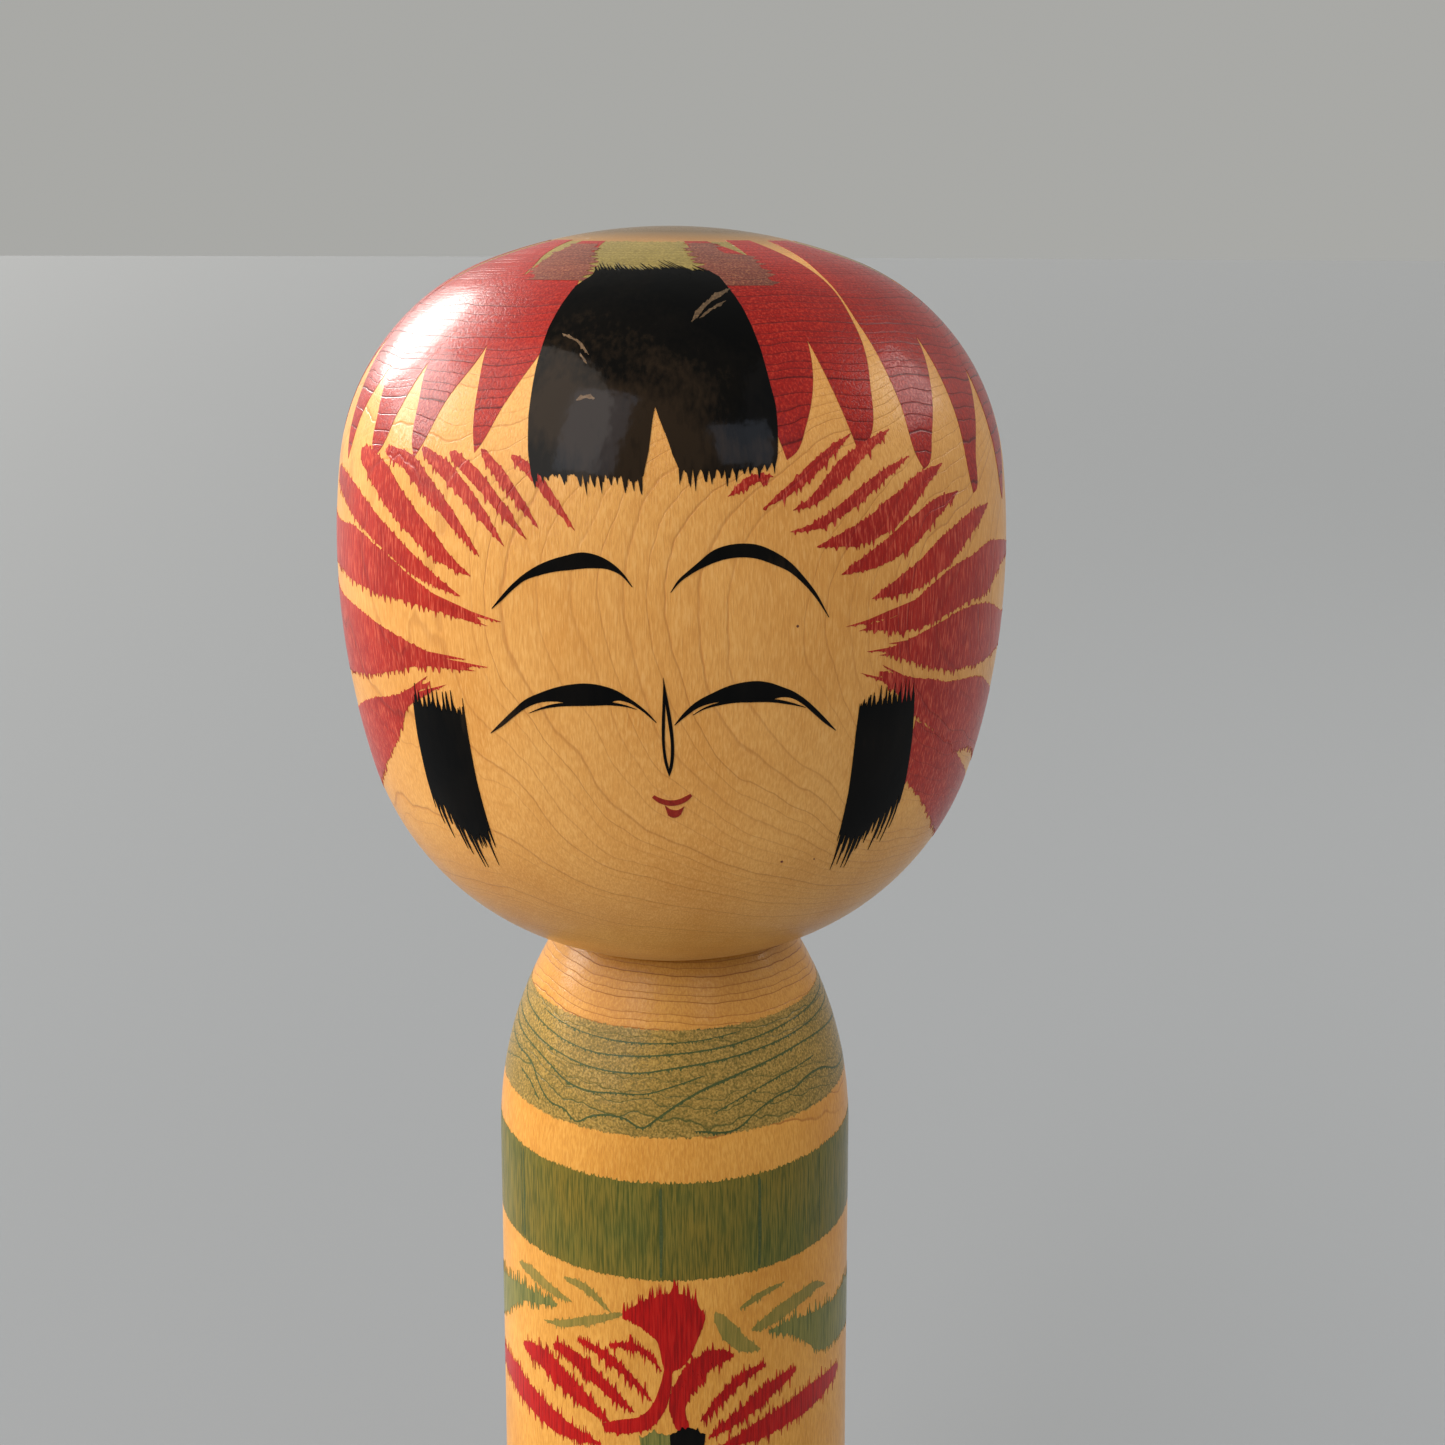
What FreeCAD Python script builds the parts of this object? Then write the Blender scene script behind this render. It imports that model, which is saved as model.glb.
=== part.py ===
import FreeCAD, Part
import Sketcher
import os
from math import atan2, hypot, pi

# A lathe-turned wooden kokeshi doll: a large head with a spigot turned in one piece with it,
# and a plain body with a blind socket in its top that the spigot turns in.
# +Z is up, the origin is the middle of the foot and the face looks along -Y.

doc = FreeCAD.newDocument("kokeshi")
vector = FreeCAD.Vector

# ---- driving dimensions, in millimetres ----
sheet = doc.addObject("Spreadsheet::Sheet", "Sizes")
sizes = [
    ("overall_height", 303.0, "floor to crown: one shaku"),
    ("head_height", 99.1, "seat of the head to its crown"),
    ("head_width", 92.6, "widest turning of the head"),
    ("widest_height", 258.3, "height of the head's widest turning"),
    ("crown_radius", 70.6, "arc across the top of the head"),
    ("temple_radius", 32.6, "arc that turns the crown into the cheek"),
    ("cheek_radius", 106.6, "long arc down the side of the head"),
    ("chin_radius", 38.2, "arc from the cheek in to the seat"),
    ("head_seat_width", 32.8, "flat seat under the head"),
    ("seat_gap", 0.2, "air between the head's seat and the body's"),
    ("foot_width", 57.0, "body at the floor, a little wider than at the shoulder"),
    ("shoulder_width", 53.0, "body where its wall starts to round in"),
    ("shoulder_height", 171.5, "height of that turning"),
    ("body_seat_width", 33.2, "flat seat on top of the body"),
    ("spigot_width", 18.0, "plug under the head"),
    ("spigot_length", 22.0, "length of the plug below the head's seat"),
    ("spigot_chamfer", 1.0, "lead on the end of the plug"),
    ("turning_clearance", 0.05, "radial clearance of the plug in its socket"),
    ("socket_depth", 25.0, "blind hole below the body's seat"),
    ("socket_chamfer", 0.6, "lead on the mouth of the hole"),
    ("seat_softening", 0.4, "sanded edge round each seat"),
    ("foot_softening", 0.8, "sanded edge round the foot"),
    ("foot_recess_width", 40.0, "hollow turned in the foot, so that the doll stands on its rim"),
    ("foot_recess_depth", 1.2, "depth of that hollow"),
]
for row, (alias, value, note) in enumerate(sizes, start=1):
    sheet.set("A%d" % row, alias)
    sheet.set("B%d" % row, str(value))
    sheet.set("C%d" % row, note)
    sheet.setAlias("B%d" % row, alias)
doc.recompute()


def size(alias):
    return float(sheet.get(alias))


# ---- small helpers ----
def new_body(label):
    body = doc.addObject("PartDesign::Body", label.capitalize() + "Body")
    body.Label = label
    body.Placement = FreeCAD.Placement()
    return body


def new_sketch(body, name):
    # Half profiles are drawn on the XZ plane: across is X, up is Z.
    plane = [item for item in body.Origin.OriginFeatures if item.Role == "XZ_Plane"][0]
    sketch = body.newObject("Sketcher::SketchObject", name)
    sketch.AttachmentSupport = [(plane, "")]
    sketch.MapMode = "FlatFace"
    return sketch


def add_line(sketch, start, end):
    return sketch.addGeometry(Part.LineSegment(vector(*start, 0), vector(*end, 0)), False)


def add_arc(sketch, centre, radius, start_angle, end_angle):
    circle = Part.Circle(vector(*centre, 0), vector(0, 0, 1), radius)
    return sketch.addGeometry(Part.ArcOfCircle(circle, start_angle, end_angle), False)


def drive(sketch, name, expression, *constraint):
    # A dimension with a name, worked out from the sheet.
    index = sketch.addConstraint(Sketcher.Constraint(*constraint))
    sketch.renameConstraint(index, name)
    sketch.setExpression("Constraints." + name, expression)


def hold(sketch, *constraint):
    sketch.addConstraint(Sketcher.Constraint(*constraint))


def close_ring(sketch, lines):
    # Joins the lines end to start, round and back to the first one.
    for index, line in enumerate(lines):
        hold(sketch, "Coincident", line, 2, lines[(index + 1) % len(lines)], 1)


def turn(body, kind, name, sketch):
    feature = body.newObject("PartDesign::" + kind, name)
    feature.Profile = sketch
    feature.ReferenceAxis = (sketch, ["V_Axis"])
    feature.Angle = 360.0
    doc.recompute()
    return feature


def rim_edges(feature, radius, height):
    # Names of the round edges of this radius about the axis, at this height.
    names = []
    for index, edge in enumerate(feature.Shape.Edges, start=1):
        if edge.Degenerated or not isinstance(edge.Curve, Part.Circle):
            continue
        if abs(edge.Curve.Radius - radius) < 0.01 and abs(edge.Curve.Center.z - height) < 0.01:
            names.append("Edge%d" % index)
    if not names:
        raise RuntimeError("no round edge of radius %.2f at %.2f" % (radius, height))
    return names


def soften(body, kind, name, base, radius, height, amount):
    feature = body.newObject("PartDesign::" + kind, name)
    feature.Base = (base, rim_edges(base, radius, height))
    feature.setExpression("Radius" if kind == "Fillet" else "Size", amount)
    doc.recompute()
    return feature


def meeting_point(first, first_reach, second, second_reach):
    # The point at these distances from two others, on the outer and upper side.
    across, up = second[0] - first[0], second[1] - first[1]
    apart = hypot(across, up)
    along = (first_reach ** 2 - second_reach ** 2 + apart ** 2) / (2 * apart)
    aside = (first_reach ** 2 - along ** 2) ** 0.5
    ends = [(first[0] + (along * across - side * aside * up) / apart,
             first[1] + (along * up + side * aside * across) / apart) for side in (1, -1)]
    return max(ends, key=lambda point: point[0] + point[1])


def angle_of(centre, point):
    return atan2(point[1] - centre[1], point[0] - centre[0])


# ---- head: four tangent arcs from the seat round to the crown, and the spigot ----
def make_head():
    body = new_body("head")
    top, seat = size("overall_height"), size("overall_height") - size("head_height")
    crown, temple, cheek, chin = (size(n + "_radius") for n in ("crown", "temple", "cheek", "chin"))
    corner = (size("head_seat_width") / 2, seat)
    crown_centre = (0.0, top - crown)
    cheek_centre = (size("head_width") / 2 - cheek, size("widest_height"))
    temple_centre = meeting_point(crown_centre, crown - temple, cheek_centre, cheek - temple)
    chin_centre = meeting_point(cheek_centre, cheek - chin, corner, chin)
    crown_join = angle_of(crown_centre, temple_centre)
    temple_join = angle_of(cheek_centre, temple_centre)
    chin_join = angle_of(cheek_centre, chin_centre)

    outline = new_sketch(body, "HeadOutline")
    chin_arc = add_arc(outline, chin_centre, chin, angle_of(chin_centre, corner), chin_join)
    cheek_arc = add_arc(outline, cheek_centre, cheek, chin_join, temple_join)
    temple_arc = add_arc(outline, temple_centre, temple, temple_join, crown_join)
    crown_arc = add_arc(outline, crown_centre, crown, crown_join, pi / 2)
    axis_line = add_line(outline, (0, top), (0, seat))
    seat_line = add_line(outline, (0, seat), corner)
    arcs = [chin_arc, cheek_arc, temple_arc, crown_arc]
    for lower, upper in zip(arcs, arcs[1:]):
        hold(outline, "Tangent", lower, 2, upper, 1)
    hold(outline, "Coincident", crown_arc, 2, axis_line, 1)
    hold(outline, "Coincident", axis_line, 2, seat_line, 1)
    hold(outline, "Coincident", seat_line, 2, chin_arc, 1)
    hold(outline, "PointOnObject", crown_arc, 3, -2)
    hold(outline, "PointOnObject", crown_arc, 2, -2)
    hold(outline, "PointOnObject", axis_line, 2, -2)
    hold(outline, "Horizontal", seat_line)
    for name, arc, radius in (("chin", chin_arc, chin), ("cheek", cheek_arc, cheek),
                              ("temple", temple_arc, temple), ("crown", crown_arc, crown)):
        drive(outline, name, "Sizes.%s_radius" % name, "Radius", arc, radius)
    drive(outline, "top", "Sizes.overall_height", "DistanceY", -1, 1, crown_arc, 2, top)
    drive(outline, "widest", "Sizes.widest_height",
          "DistanceY", -1, 1, cheek_arc, 3, size("widest_height"))
    drive(outline, "cheek_inset", "Sizes.cheek_radius - Sizes.head_width / 2",
          "DistanceX", cheek_arc, 3, -1, 1, -cheek_centre[0])
    drive(outline, "seat_radius", "Sizes.head_seat_width / 2",
          "DistanceX", -1, 1, chin_arc, 1, corner[0])
    drive(outline, "seat_height", "Sizes.overall_height - Sizes.head_height",
          "DistanceY", -1, 1, chin_arc, 1, seat)
    turn(body, "Revolution", "HeadForm", outline)

    reach, plug = size("spigot_width") / 2, size("spigot_length")
    spigot = new_sketch(body, "SpigotOutline")
    corners = [(0, seat - plug), (reach, seat - plug), (reach, seat), (0, seat)]
    floor, side, root, axis = [add_line(spigot, a, b) for a, b in zip(corners, corners[1:] + corners[:1])]
    close_ring(spigot, [floor, side, root, axis])
    hold(spigot, "Horizontal", floor)
    hold(spigot, "Horizontal", root)
    hold(spigot, "Vertical", side)
    hold(spigot, "PointOnObject", floor, 1, -2)
    hold(spigot, "PointOnObject", axis, 1, -2)
    drive(spigot, "reach", "Sizes.spigot_width / 2", "DistanceX", floor, 1, floor, 2, reach)
    drive(spigot, "plug", "Sizes.spigot_length", "DistanceY", side, 1, side, 2, plug)
    drive(spigot, "root_height", "Sizes.overall_height - Sizes.head_height",
          "DistanceY", -1, 1, root, 1, seat)
    plugged = turn(body, "Revolution", "Spigot", spigot)
    led = soften(body, "Chamfer", "SpigotLead", plugged, reach, seat - plug, "Sizes.spigot_chamfer")
    soften(body, "Fillet", "HeadSeatEdge", led, corner[0], seat, "Sizes.seat_softening")
    return body


# ---- body: a wall that leans in a little, an arc to the seat, a blind socket and a hollow foot ----
def make_body():
    body = new_body("body")
    reach, shoulder_reach, seat_reach = (
        size(n + "_width") / 2 for n in ("foot", "shoulder", "body_seat"))
    top = size("overall_height") - size("head_height") - size("seat_gap")
    spring = size("shoulder_height")
    top_rule = "Sizes.overall_height - Sizes.head_height - Sizes.seat_gap"
    # The shoulder's arc leaves the wall without a corner and ends at the edge of the seat.
    slant = hypot(reach - shoulder_reach, spring)
    inward = (-spring / slant, (shoulder_reach - reach) / slant)
    across, up = seat_reach - shoulder_reach, top - spring
    radius = (across ** 2 + up ** 2) / (2 * (across * inward[0] + up * inward[1]))
    centre = (shoulder_reach + radius * inward[0], spring + radius * inward[1])

    outline = new_sketch(body, "BodyOutline")
    foot = add_line(outline, (0, 0), (reach, 0))
    wall = add_line(outline, (reach, 0), (shoulder_reach, spring))
    shoulder_arc = add_arc(outline, centre, radius, angle_of(centre, (shoulder_reach, spring)),
                           angle_of(centre, (seat_reach, top)))
    seat = add_line(outline, (seat_reach, top), (0, top))
    axis = add_line(outline, (0, top), (0, 0))
    hold(outline, "Coincident", foot, 1, -1, 1)
    hold(outline, "Coincident", foot, 2, wall, 1)
    hold(outline, "Tangent", wall, 2, shoulder_arc, 1)
    hold(outline, "Coincident", shoulder_arc, 2, seat, 1)
    hold(outline, "Coincident", seat, 2, axis, 1)
    hold(outline, "Coincident", axis, 2, foot, 1)
    hold(outline, "Horizontal", foot)
    hold(outline, "Horizontal", seat)
    hold(outline, "Vertical", axis)
    drive(outline, "reach", "Sizes.foot_width / 2", "DistanceX", foot, 1, foot, 2, reach)
    drive(outline, "shoulder_reach", "Sizes.shoulder_width / 2",
          "DistanceX", -1, 1, wall, 2, shoulder_reach)
    drive(outline, "spring", "Sizes.shoulder_height", "DistanceY", -1, 1, wall, 2, spring)
    drive(outline, "seat_reach", "Sizes.body_seat_width / 2", "DistanceX", seat, 2, seat, 1, seat_reach)
    drive(outline, "seat_height", top_rule, "DistanceY", -1, 1, seat, 1, top)
    form = turn(body, "Revolution", "BodyForm", outline)

    # The blind socket that the head's spigot turns in.
    hole = size("spigot_width") / 2 + size("turning_clearance")
    depth = size("socket_depth")
    socket = new_sketch(body, "SocketOutline")
    corners = [(0, top - depth), (hole, top - depth), (hole, top), (0, top)]
    floor, side, mouth, middle = [add_line(socket, a, b) for a, b in zip(corners, corners[1:] + corners[:1])]
    close_ring(socket, [floor, side, mouth, middle])
    hold(socket, "Horizontal", floor)
    hold(socket, "Horizontal", mouth)
    hold(socket, "Vertical", side)
    hold(socket, "PointOnObject", floor, 1, -2)
    hold(socket, "PointOnObject", middle, 1, -2)
    drive(socket, "hole", "Sizes.spigot_width / 2 + Sizes.turning_clearance",
          "DistanceX", floor, 1, floor, 2, hole)
    drive(socket, "depth", "Sizes.socket_depth", "DistanceY", side, 1, side, 2, depth)
    drive(socket, "mouth_height", top_rule, "DistanceY", -1, 1, mouth, 1, top)
    bored = turn(body, "Groove", "Socket", socket)

    # The shallow hollow in the foot.
    recess, sunk = size("foot_recess_width") / 2, size("foot_recess_depth")
    hollow = new_sketch(body, "FootOutline")
    corners = [(0, 0), (recess, 0), (recess, sunk), (0, sunk)]
    base, rise, roof, back = [add_line(hollow, a, b) for a, b in zip(corners, corners[1:] + corners[:1])]
    close_ring(hollow, [base, rise, roof, back])
    hold(hollow, "Coincident", base, 1, -1, 1)
    hold(hollow, "Horizontal", base)
    hold(hollow, "Vertical", rise)
    hold(hollow, "Horizontal", roof)
    hold(hollow, "Vertical", back)
    drive(hollow, "recess", "Sizes.foot_recess_width / 2", "DistanceX", base, 1, base, 2, recess)
    drive(hollow, "sunk", "Sizes.foot_recess_depth", "DistanceY", rise, 1, rise, 2, sunk)
    footed = turn(body, "Groove", "FootHollow", hollow)

    led = soften(body, "Chamfer", "SocketLead", footed, hole, top, "Sizes.socket_chamfer")
    seated = soften(body, "Fillet", "BodySeatEdge", led, seat_reach, top, "Sizes.seat_softening")
    soften(body, "Fillet", "FootEdge", seated, reach, 0, "Sizes.foot_softening")
    cut = form.Shape.Volume - footed.Shape.Volume
    expected = pi * (hole ** 2 * depth + recess ** 2 * sunk)
    if abs(cut - expected) > 1.0:
        raise RuntimeError("the socket and the foot took %.1f, not %.1f" % (cut, expected))
    return body


head = make_head()
body = make_body()
doc.recompute()

# ---- checks, then the files ----
for item in doc.Objects:
    if "Invalid" in item.State or "Error" in item.State:
        raise RuntimeError(item.Name + " failed: " + str(item.State))
for item in (head, body):
    if item.Shape.isNull() or not item.Shape.isValid() or len(item.Shape.Solids) != 1:
        raise RuntimeError(item.Label + " is not one valid solid")

overlap = head.Shape.common(body.Shape).Volume
print("head", head.Shape.BoundBox)
print("body", body.Shape.BoundBox)
print("volumes %.0f and %.0f, overlap %.3f" % (head.Shape.Volume, body.Shape.Volume, overlap))

os.makedirs("parts", exist_ok=True)
for item in (head, body):
    item.Shape.exportStep("parts/%s.step" % item.Label)
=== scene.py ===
import math
import bpy
import numpy as np
from mathutils import Matrix


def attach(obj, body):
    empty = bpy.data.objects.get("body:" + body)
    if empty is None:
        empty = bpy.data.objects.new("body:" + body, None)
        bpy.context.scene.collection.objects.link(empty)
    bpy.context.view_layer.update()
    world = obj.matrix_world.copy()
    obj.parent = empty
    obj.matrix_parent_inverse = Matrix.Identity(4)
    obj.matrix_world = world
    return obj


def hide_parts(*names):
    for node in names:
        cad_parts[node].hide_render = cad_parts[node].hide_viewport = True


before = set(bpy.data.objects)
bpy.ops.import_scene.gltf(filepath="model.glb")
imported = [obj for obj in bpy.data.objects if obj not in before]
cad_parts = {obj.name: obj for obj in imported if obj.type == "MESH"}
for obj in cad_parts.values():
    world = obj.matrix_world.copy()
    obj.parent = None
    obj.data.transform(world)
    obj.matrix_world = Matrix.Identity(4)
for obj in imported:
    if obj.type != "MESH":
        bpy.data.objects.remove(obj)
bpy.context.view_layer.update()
print("frame loaded")

# Lengths here are in mm, and makeMesh turns them to metres.
# The face looks along -Y. A place on the doll is a turn in degrees from the face, towards its left hand,
# and then the mm along the surface from the crown's top (on the head) or the height in mm (on the body).


# small tools

def linear(hexColour):
    # sRGB hex to the linear colour that the shaders take
    parts = [int(hexColour[i:i + 2], 16) / 255 for i in (1, 3, 5)]
    return tuple(c / 12.92 if c <= 0.04045 else ((c + 0.055) / 1.055) ** 2.4 for c in parts) + (1.0,)


def addNode(tree, kind, inputs=None, stops=(), **settings):
    # one node: its settings, a ramp's stops (each a place and a grey level or a hex colour), and its inputs,
    # each a value, a socket, or a node whose first live output is linked
    node = tree.nodes.new("ShaderNode" + kind)
    for key, value in settings.items():
        setattr(node, key, value)
    if stops:
        band = node.color_ramp.elements
        band.remove(band[1])
        for i, (place, tone) in enumerate(stops):
            stop = band[0] if i == 0 else band.new(place)
            stop.position = place
            stop.color = linear(tone) if isinstance(tone, str) else (tone, tone, tone, 1)
    for key, value in (inputs or {}).items():
        if isinstance(value, bpy.types.Node):
            value = next(socket for socket in value.outputs if socket.enabled)
        if isinstance(value, bpy.types.NodeSocket):
            tree.links.new(value, node.inputs[key])
        else:
            node.inputs[key].default_value = value
    return node


def bristle(turn, spacing, seed, sharpness):
    # random spikes from 0 to 1 along the turn: random heights every spacing degrees, straight between
    count = 4096  # more than a whole turn needs at the finest spacing
    heights = np.random.default_rng(seed).random(count) ** sharpness
    return np.interp(turn / spacing + count / 2, np.arange(count), heights)


def teeth(turn, spacing, seed, sharpness=1.0):
    # a comb of pointed teeth from 0 to 1: one in each space, with its own height, place and narrow root
    random = np.random.default_rng(seed)
    count, flank = 1200, 0.17  # how many teeth, and how far from its tip a tooth is half as high
    starts = (np.arange(count) - count / 2) * spacing
    tip = starts + spacing * random.uniform(0.3, 0.7, count)
    height = random.random(count) ** sharpness
    places = np.stack([starts, tip - flank * spacing, tip, tip + flank * spacing], -1).ravel()
    heights = np.stack([0 * height, 0.5 * height, height, 0.5 * height], -1).ravel()
    return np.interp(turn, places, heights)


mmPerDegree = 0.75  # along a turn, on a radius of about 43 mm


def stepLengths(points):
    # the mm from each point to the next
    return np.hypot(np.diff(points[:, 0]) * mmPerDegree, np.diff(points[:, 1]))


def curveThrough(points, count):
    # a smooth curve through the points: cubic pieces whose slopes are the central differences at the points
    points = np.asarray(points, float)
    place = np.r_[0.0, np.cumsum(np.maximum(stepLengths(points), 1e-6))]
    slopes = np.gradient(points, place, axis=0)
    wanted = np.linspace(0, place[-1], count)
    piece = np.clip(np.searchsorted(place, wanted, side="right") - 1, 0, len(place) - 2)
    gap = (place[piece + 1] - place[piece])[:, None]
    t = (wanted[:, None] - place[piece][:, None]) / gap
    return ((2 * t ** 3 - 3 * t ** 2 + 1) * points[piece] + (t ** 3 - 2 * t ** 2 + t) * gap * slopes[piece]
            + (3 * t ** 2 - 2 * t ** 3) * points[piece + 1] + (t ** 3 - t ** 2) * gap * slopes[piece + 1])


# the turned shapes

headShape = {
    "overallHeight": 303.0, "widest": 92.6, "widestHeight": 258.3,
    "crownRadius": 70.6, "templeRadius": 32.6, "cheekRadius": 106.6, "chinRadius": 38.2,
    "seatRadius": 16.4, "seatHeight": 203.9, "seatSoftening": 0.4,
    "spigotRadius": 9.0, "spigotLength": 22.0, "spigotChamfer": 1.0,
    # the mesh: columns round, mm between rings, rings on the spigot, and radii of the rings inside its flats
    "around": 320, "step": 1.3, "uprightRings": 12, "seatRing": 12.5, "endRing": 4.0,
}
bodyShape = {
    "footRadius": 28.5, "shoulderRadius": 26.5, "shoulderHeight": 171.5,
    "seatRadius": 16.6, "seatHeight": 203.7, "seatSoftening": 0.4, "footSoftening": 0.8,
    "socketRadius": 9.05, "socketDepth": 25.0, "socketChamfer": 0.6,
    "footHollowRadius": 20.0, "footHollowDepth": 1.2,
    # the mesh, as the head's
    "around": 240, "step": 1.4, "uprightRings": 12, "seatRing": 12.5, "endRing": 4.0, "footRing": 24.0,
    "hollowRing": 10.0,
}


def arcCentre(first, firstRadius, second, secondRadius):
    # where two circles cross away from the axis: the centre of an arc that touches its neighbours
    across, up = second[0] - first[0], second[1] - first[1]
    apart = math.hypot(across, up)
    along = (firstRadius ** 2 - secondRadius ** 2 + apart ** 2) / (2 * apart)
    aside = math.sqrt(firstRadius ** 2 - along ** 2)
    ends = [(first[0] + (along * across - side * aside * up) / apart,
             first[1] + (along * up + side * aside * across) / apart) for side in (1, -1)]
    return max(ends, key=lambda point: point[0] + point[1])


def leanOf(centre, point):
    # the angle above level at which the point lies from the centre
    return math.atan2(point[1] - centre[1], point[0] - centre[0])


def headArcs(h):
    # the head's crown, temple, cheek and chin arcs: their centres, radii and the leans between them
    crown = (0.0, h["overallHeight"] - h["crownRadius"])
    cheek = (h["widest"] / 2 - h["cheekRadius"], h["widestHeight"])
    temple = arcCentre(crown, h["crownRadius"] - h["templeRadius"],
                       cheek, h["cheekRadius"] - h["templeRadius"])
    seat = (h["seatRadius"], h["seatHeight"])
    chin = arcCentre(cheek, h["cheekRadius"] - h["chinRadius"], seat, h["chinRadius"])
    leans = [math.pi / 2, leanOf(crown, temple), leanOf(cheek, temple), leanOf(cheek, chin),
             leanOf(chin, seat)]
    centres = [crown, temple, cheek, chin]
    radii = [h[name] for name in ("crownRadius", "templeRadius", "cheekRadius", "chinRadius")]
    return centres, radii, leans


arcCentres, arcRadii, arcLeans = headArcs(headShape)
arcEnds = np.cumsum([0] + [radius * (arcLeans[i] - arcLeans[i + 1]) for i, radius in enumerate(arcRadii)])


def headOutline(along):
    # radius, height and lean of the outline at each length from the crown's top
    along = np.clip(along, 0, arcEnds[-1])
    which = np.clip(np.searchsorted(arcEnds, along, side="right") - 1, 0, 3)
    centres, radii = np.array(arcCentres)[which], np.array(arcRadii)[which]
    starts = np.array(arcLeans)[which]
    lean = starts - (along - arcEnds[which]) / radii
    return centres[..., 0] + radii * np.cos(lean), centres[..., 1] + radii * np.sin(lean), lean


def shoulderArc(b):
    # the arc that leaves the leaning wall smoothly and reaches the seat
    wall = math.hypot(b["footRadius"] - b["shoulderRadius"], b["shoulderHeight"])
    inward = (-b["shoulderHeight"] / wall, (b["shoulderRadius"] - b["footRadius"]) / wall)
    across, up = b["seatRadius"] - b["shoulderRadius"], b["seatHeight"] - b["shoulderHeight"]
    radius = (across ** 2 + up ** 2) / (2 * (across * inward[0] + up * inward[1]))
    return b["shoulderRadius"] + radius * inward[0], b["shoulderHeight"] + radius * inward[1], radius


arcAcross, arcUp, arcRadius = shoulderArc(bodyShape)


def bodyOutline(height):
    # radius, height and lean of the wall and the shoulder at each height
    b = bodyShape
    slope = (b["footRadius"] - b["shoulderRadius"]) / b["shoulderHeight"]
    onWall = b["footRadius"] - slope * height
    onArc = arcAcross + np.sqrt(np.maximum(arcRadius ** 2 - (height - arcUp) ** 2, 0))
    lean = np.arcsin(np.clip((height - arcUp) / arcRadius, -1, 1))
    above = height > b["shoulderHeight"]
    return np.where(above, onArc, onWall), height, np.where(above, lean, math.atan(slope))


# the two painted surfaces: outline, the way down along it, the body it rides on and its material slot
onHead = {"outline": headOutline, "down": 1.0, "body": "turning_head", "slot": "head_wood"}
onBody = {"outline": bodyOutline, "down": -1.0, "body": "stand", "slot": "body_wood"}


def layOn(surface, turn, along, lift):
    # carries the outline round the axis: (radius sin turn, -radius cos turn, height), raised along the normal
    radius, height, lean = surface["outline"](along)
    radius = radius + lift * np.cos(lean)
    turn = np.radians(turn)
    return np.stack([radius * np.sin(turn), -radius * np.cos(turn), height + lift * np.sin(lean)], -1)


def makeMesh(name, points, faces, material, surface):
    mesh = bpy.data.meshes.new(name)
    mesh.from_pydata((np.asarray(points) * 0.001).tolist(), [], faces)
    mesh.update(calc_edges=True)
    mesh.polygons.foreach_set("use_smooth", np.ones(len(mesh.polygons), bool))
    mesh.set_sharp_from_angle(angle=math.radians(35))  # keeps the turned corners and the films' edges crisp
    mesh.materials.append(material)
    piece = bpy.data.objects.new(name, mesh)
    bpy.context.scene.collection.objects.link(piece)
    body, slotName = surface["body"], surface["slot"]
    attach(piece, body)
    return piece


def turnOnLathe(name, outline, around, material, surface):
    # a closed turned solid: the outline, from the axis back to the axis, is carried round in equal steps,
    # so each ring is (radius sin turn, -radius cos turn, height), and a fan closes each pole
    outline = np.asarray(outline, float)
    rings = outline[1:-1]
    turn = np.linspace(0, 2 * np.pi, around, endpoint=False)
    radius, height = rings[:, :1], rings[:, 1:]
    ring = np.stack([radius * np.sin(turn), -radius * np.cos(turn), height + 0 * turn], -1).reshape(-1, 3)
    points = np.vstack([ring, [0, 0, outline[0, 1]], [0, 0, outline[-1, 1]]])
    here = np.arange(len(rings) * around).reshape(len(rings), around)
    beside = np.roll(here, -1, axis=1)
    quads = np.stack([here[:-1], here[1:], beside[1:], beside[:-1]], -1).reshape(-1, 4)
    first, last = len(ring), len(ring) + 1
    fan = np.stack([here[0], beside[0], np.full(around, first)], -1)
    close = np.stack([beside[-1], here[-1], np.full(around, last)], -1)
    return makeMesh(name, points, quads.tolist() + fan.tolist() + close.tolist(), material, surface)


def corner(before, point, after, size):
    # a softened corner: a parabola in four steps that starts and ends size from the corner, on its two sides
    before, point, after = (np.asarray(p, float) for p in (before, point, after))
    start = point + (before - point) / np.linalg.norm(before - point) * size
    end = point + (after - point) / np.linalg.norm(after - point) * size
    t = np.linspace(0, 1, 5)[:, None]
    return ((1 - t) ** 2 * start + 2 * t * (1 - t) * point + t ** 2 * end).tolist()


# wood and dye

# the grain that each finish has unless it says otherwise
mapleGrain = {
    "ringSpacing": 0.66, "waviness": 0.16,   # mm between growth lines, and mm that fine ripples move them
    "warp": 0.0042,                          # m that slow swells move them
    "pith": (-9.5, -4.0), "bow": 4.2,        # the tree's heart, mm beside the axis, and its bow, per m
    "lineDepth": 0.5, "evenness": 0.12,      # how dark the growth lines are, and the weakest line's share
    "lineHeights": (-1.0, -0.5),             # the heights in m over which growth lines come in
    "fibreLength": 3.2, "fibreWidth": 0.27,  # mm of one fibre fleck, coarser than real fibre so that it shows
    "fleckDepth": 0.35, "glintDepth": 0.3,   # how strong the dark flecks and the pale glints are
    "endGrainAndShade": (0.2995, 0.3024, 0.0),       # heights in m over which open grain turns brown, and painted shade darkens the crown's top, and how much
}
bodyGrain = {"pith": (0.6, 0.8), "bow": 0.0, "warp": 0.0022, "ringSpacing": 0.62,
             "lineHeights": (0.176, 0.183)}
crownGrain = {"pith": (-1.0, 1.5), "bow": 0.0, "waviness": 0.2}

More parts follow.
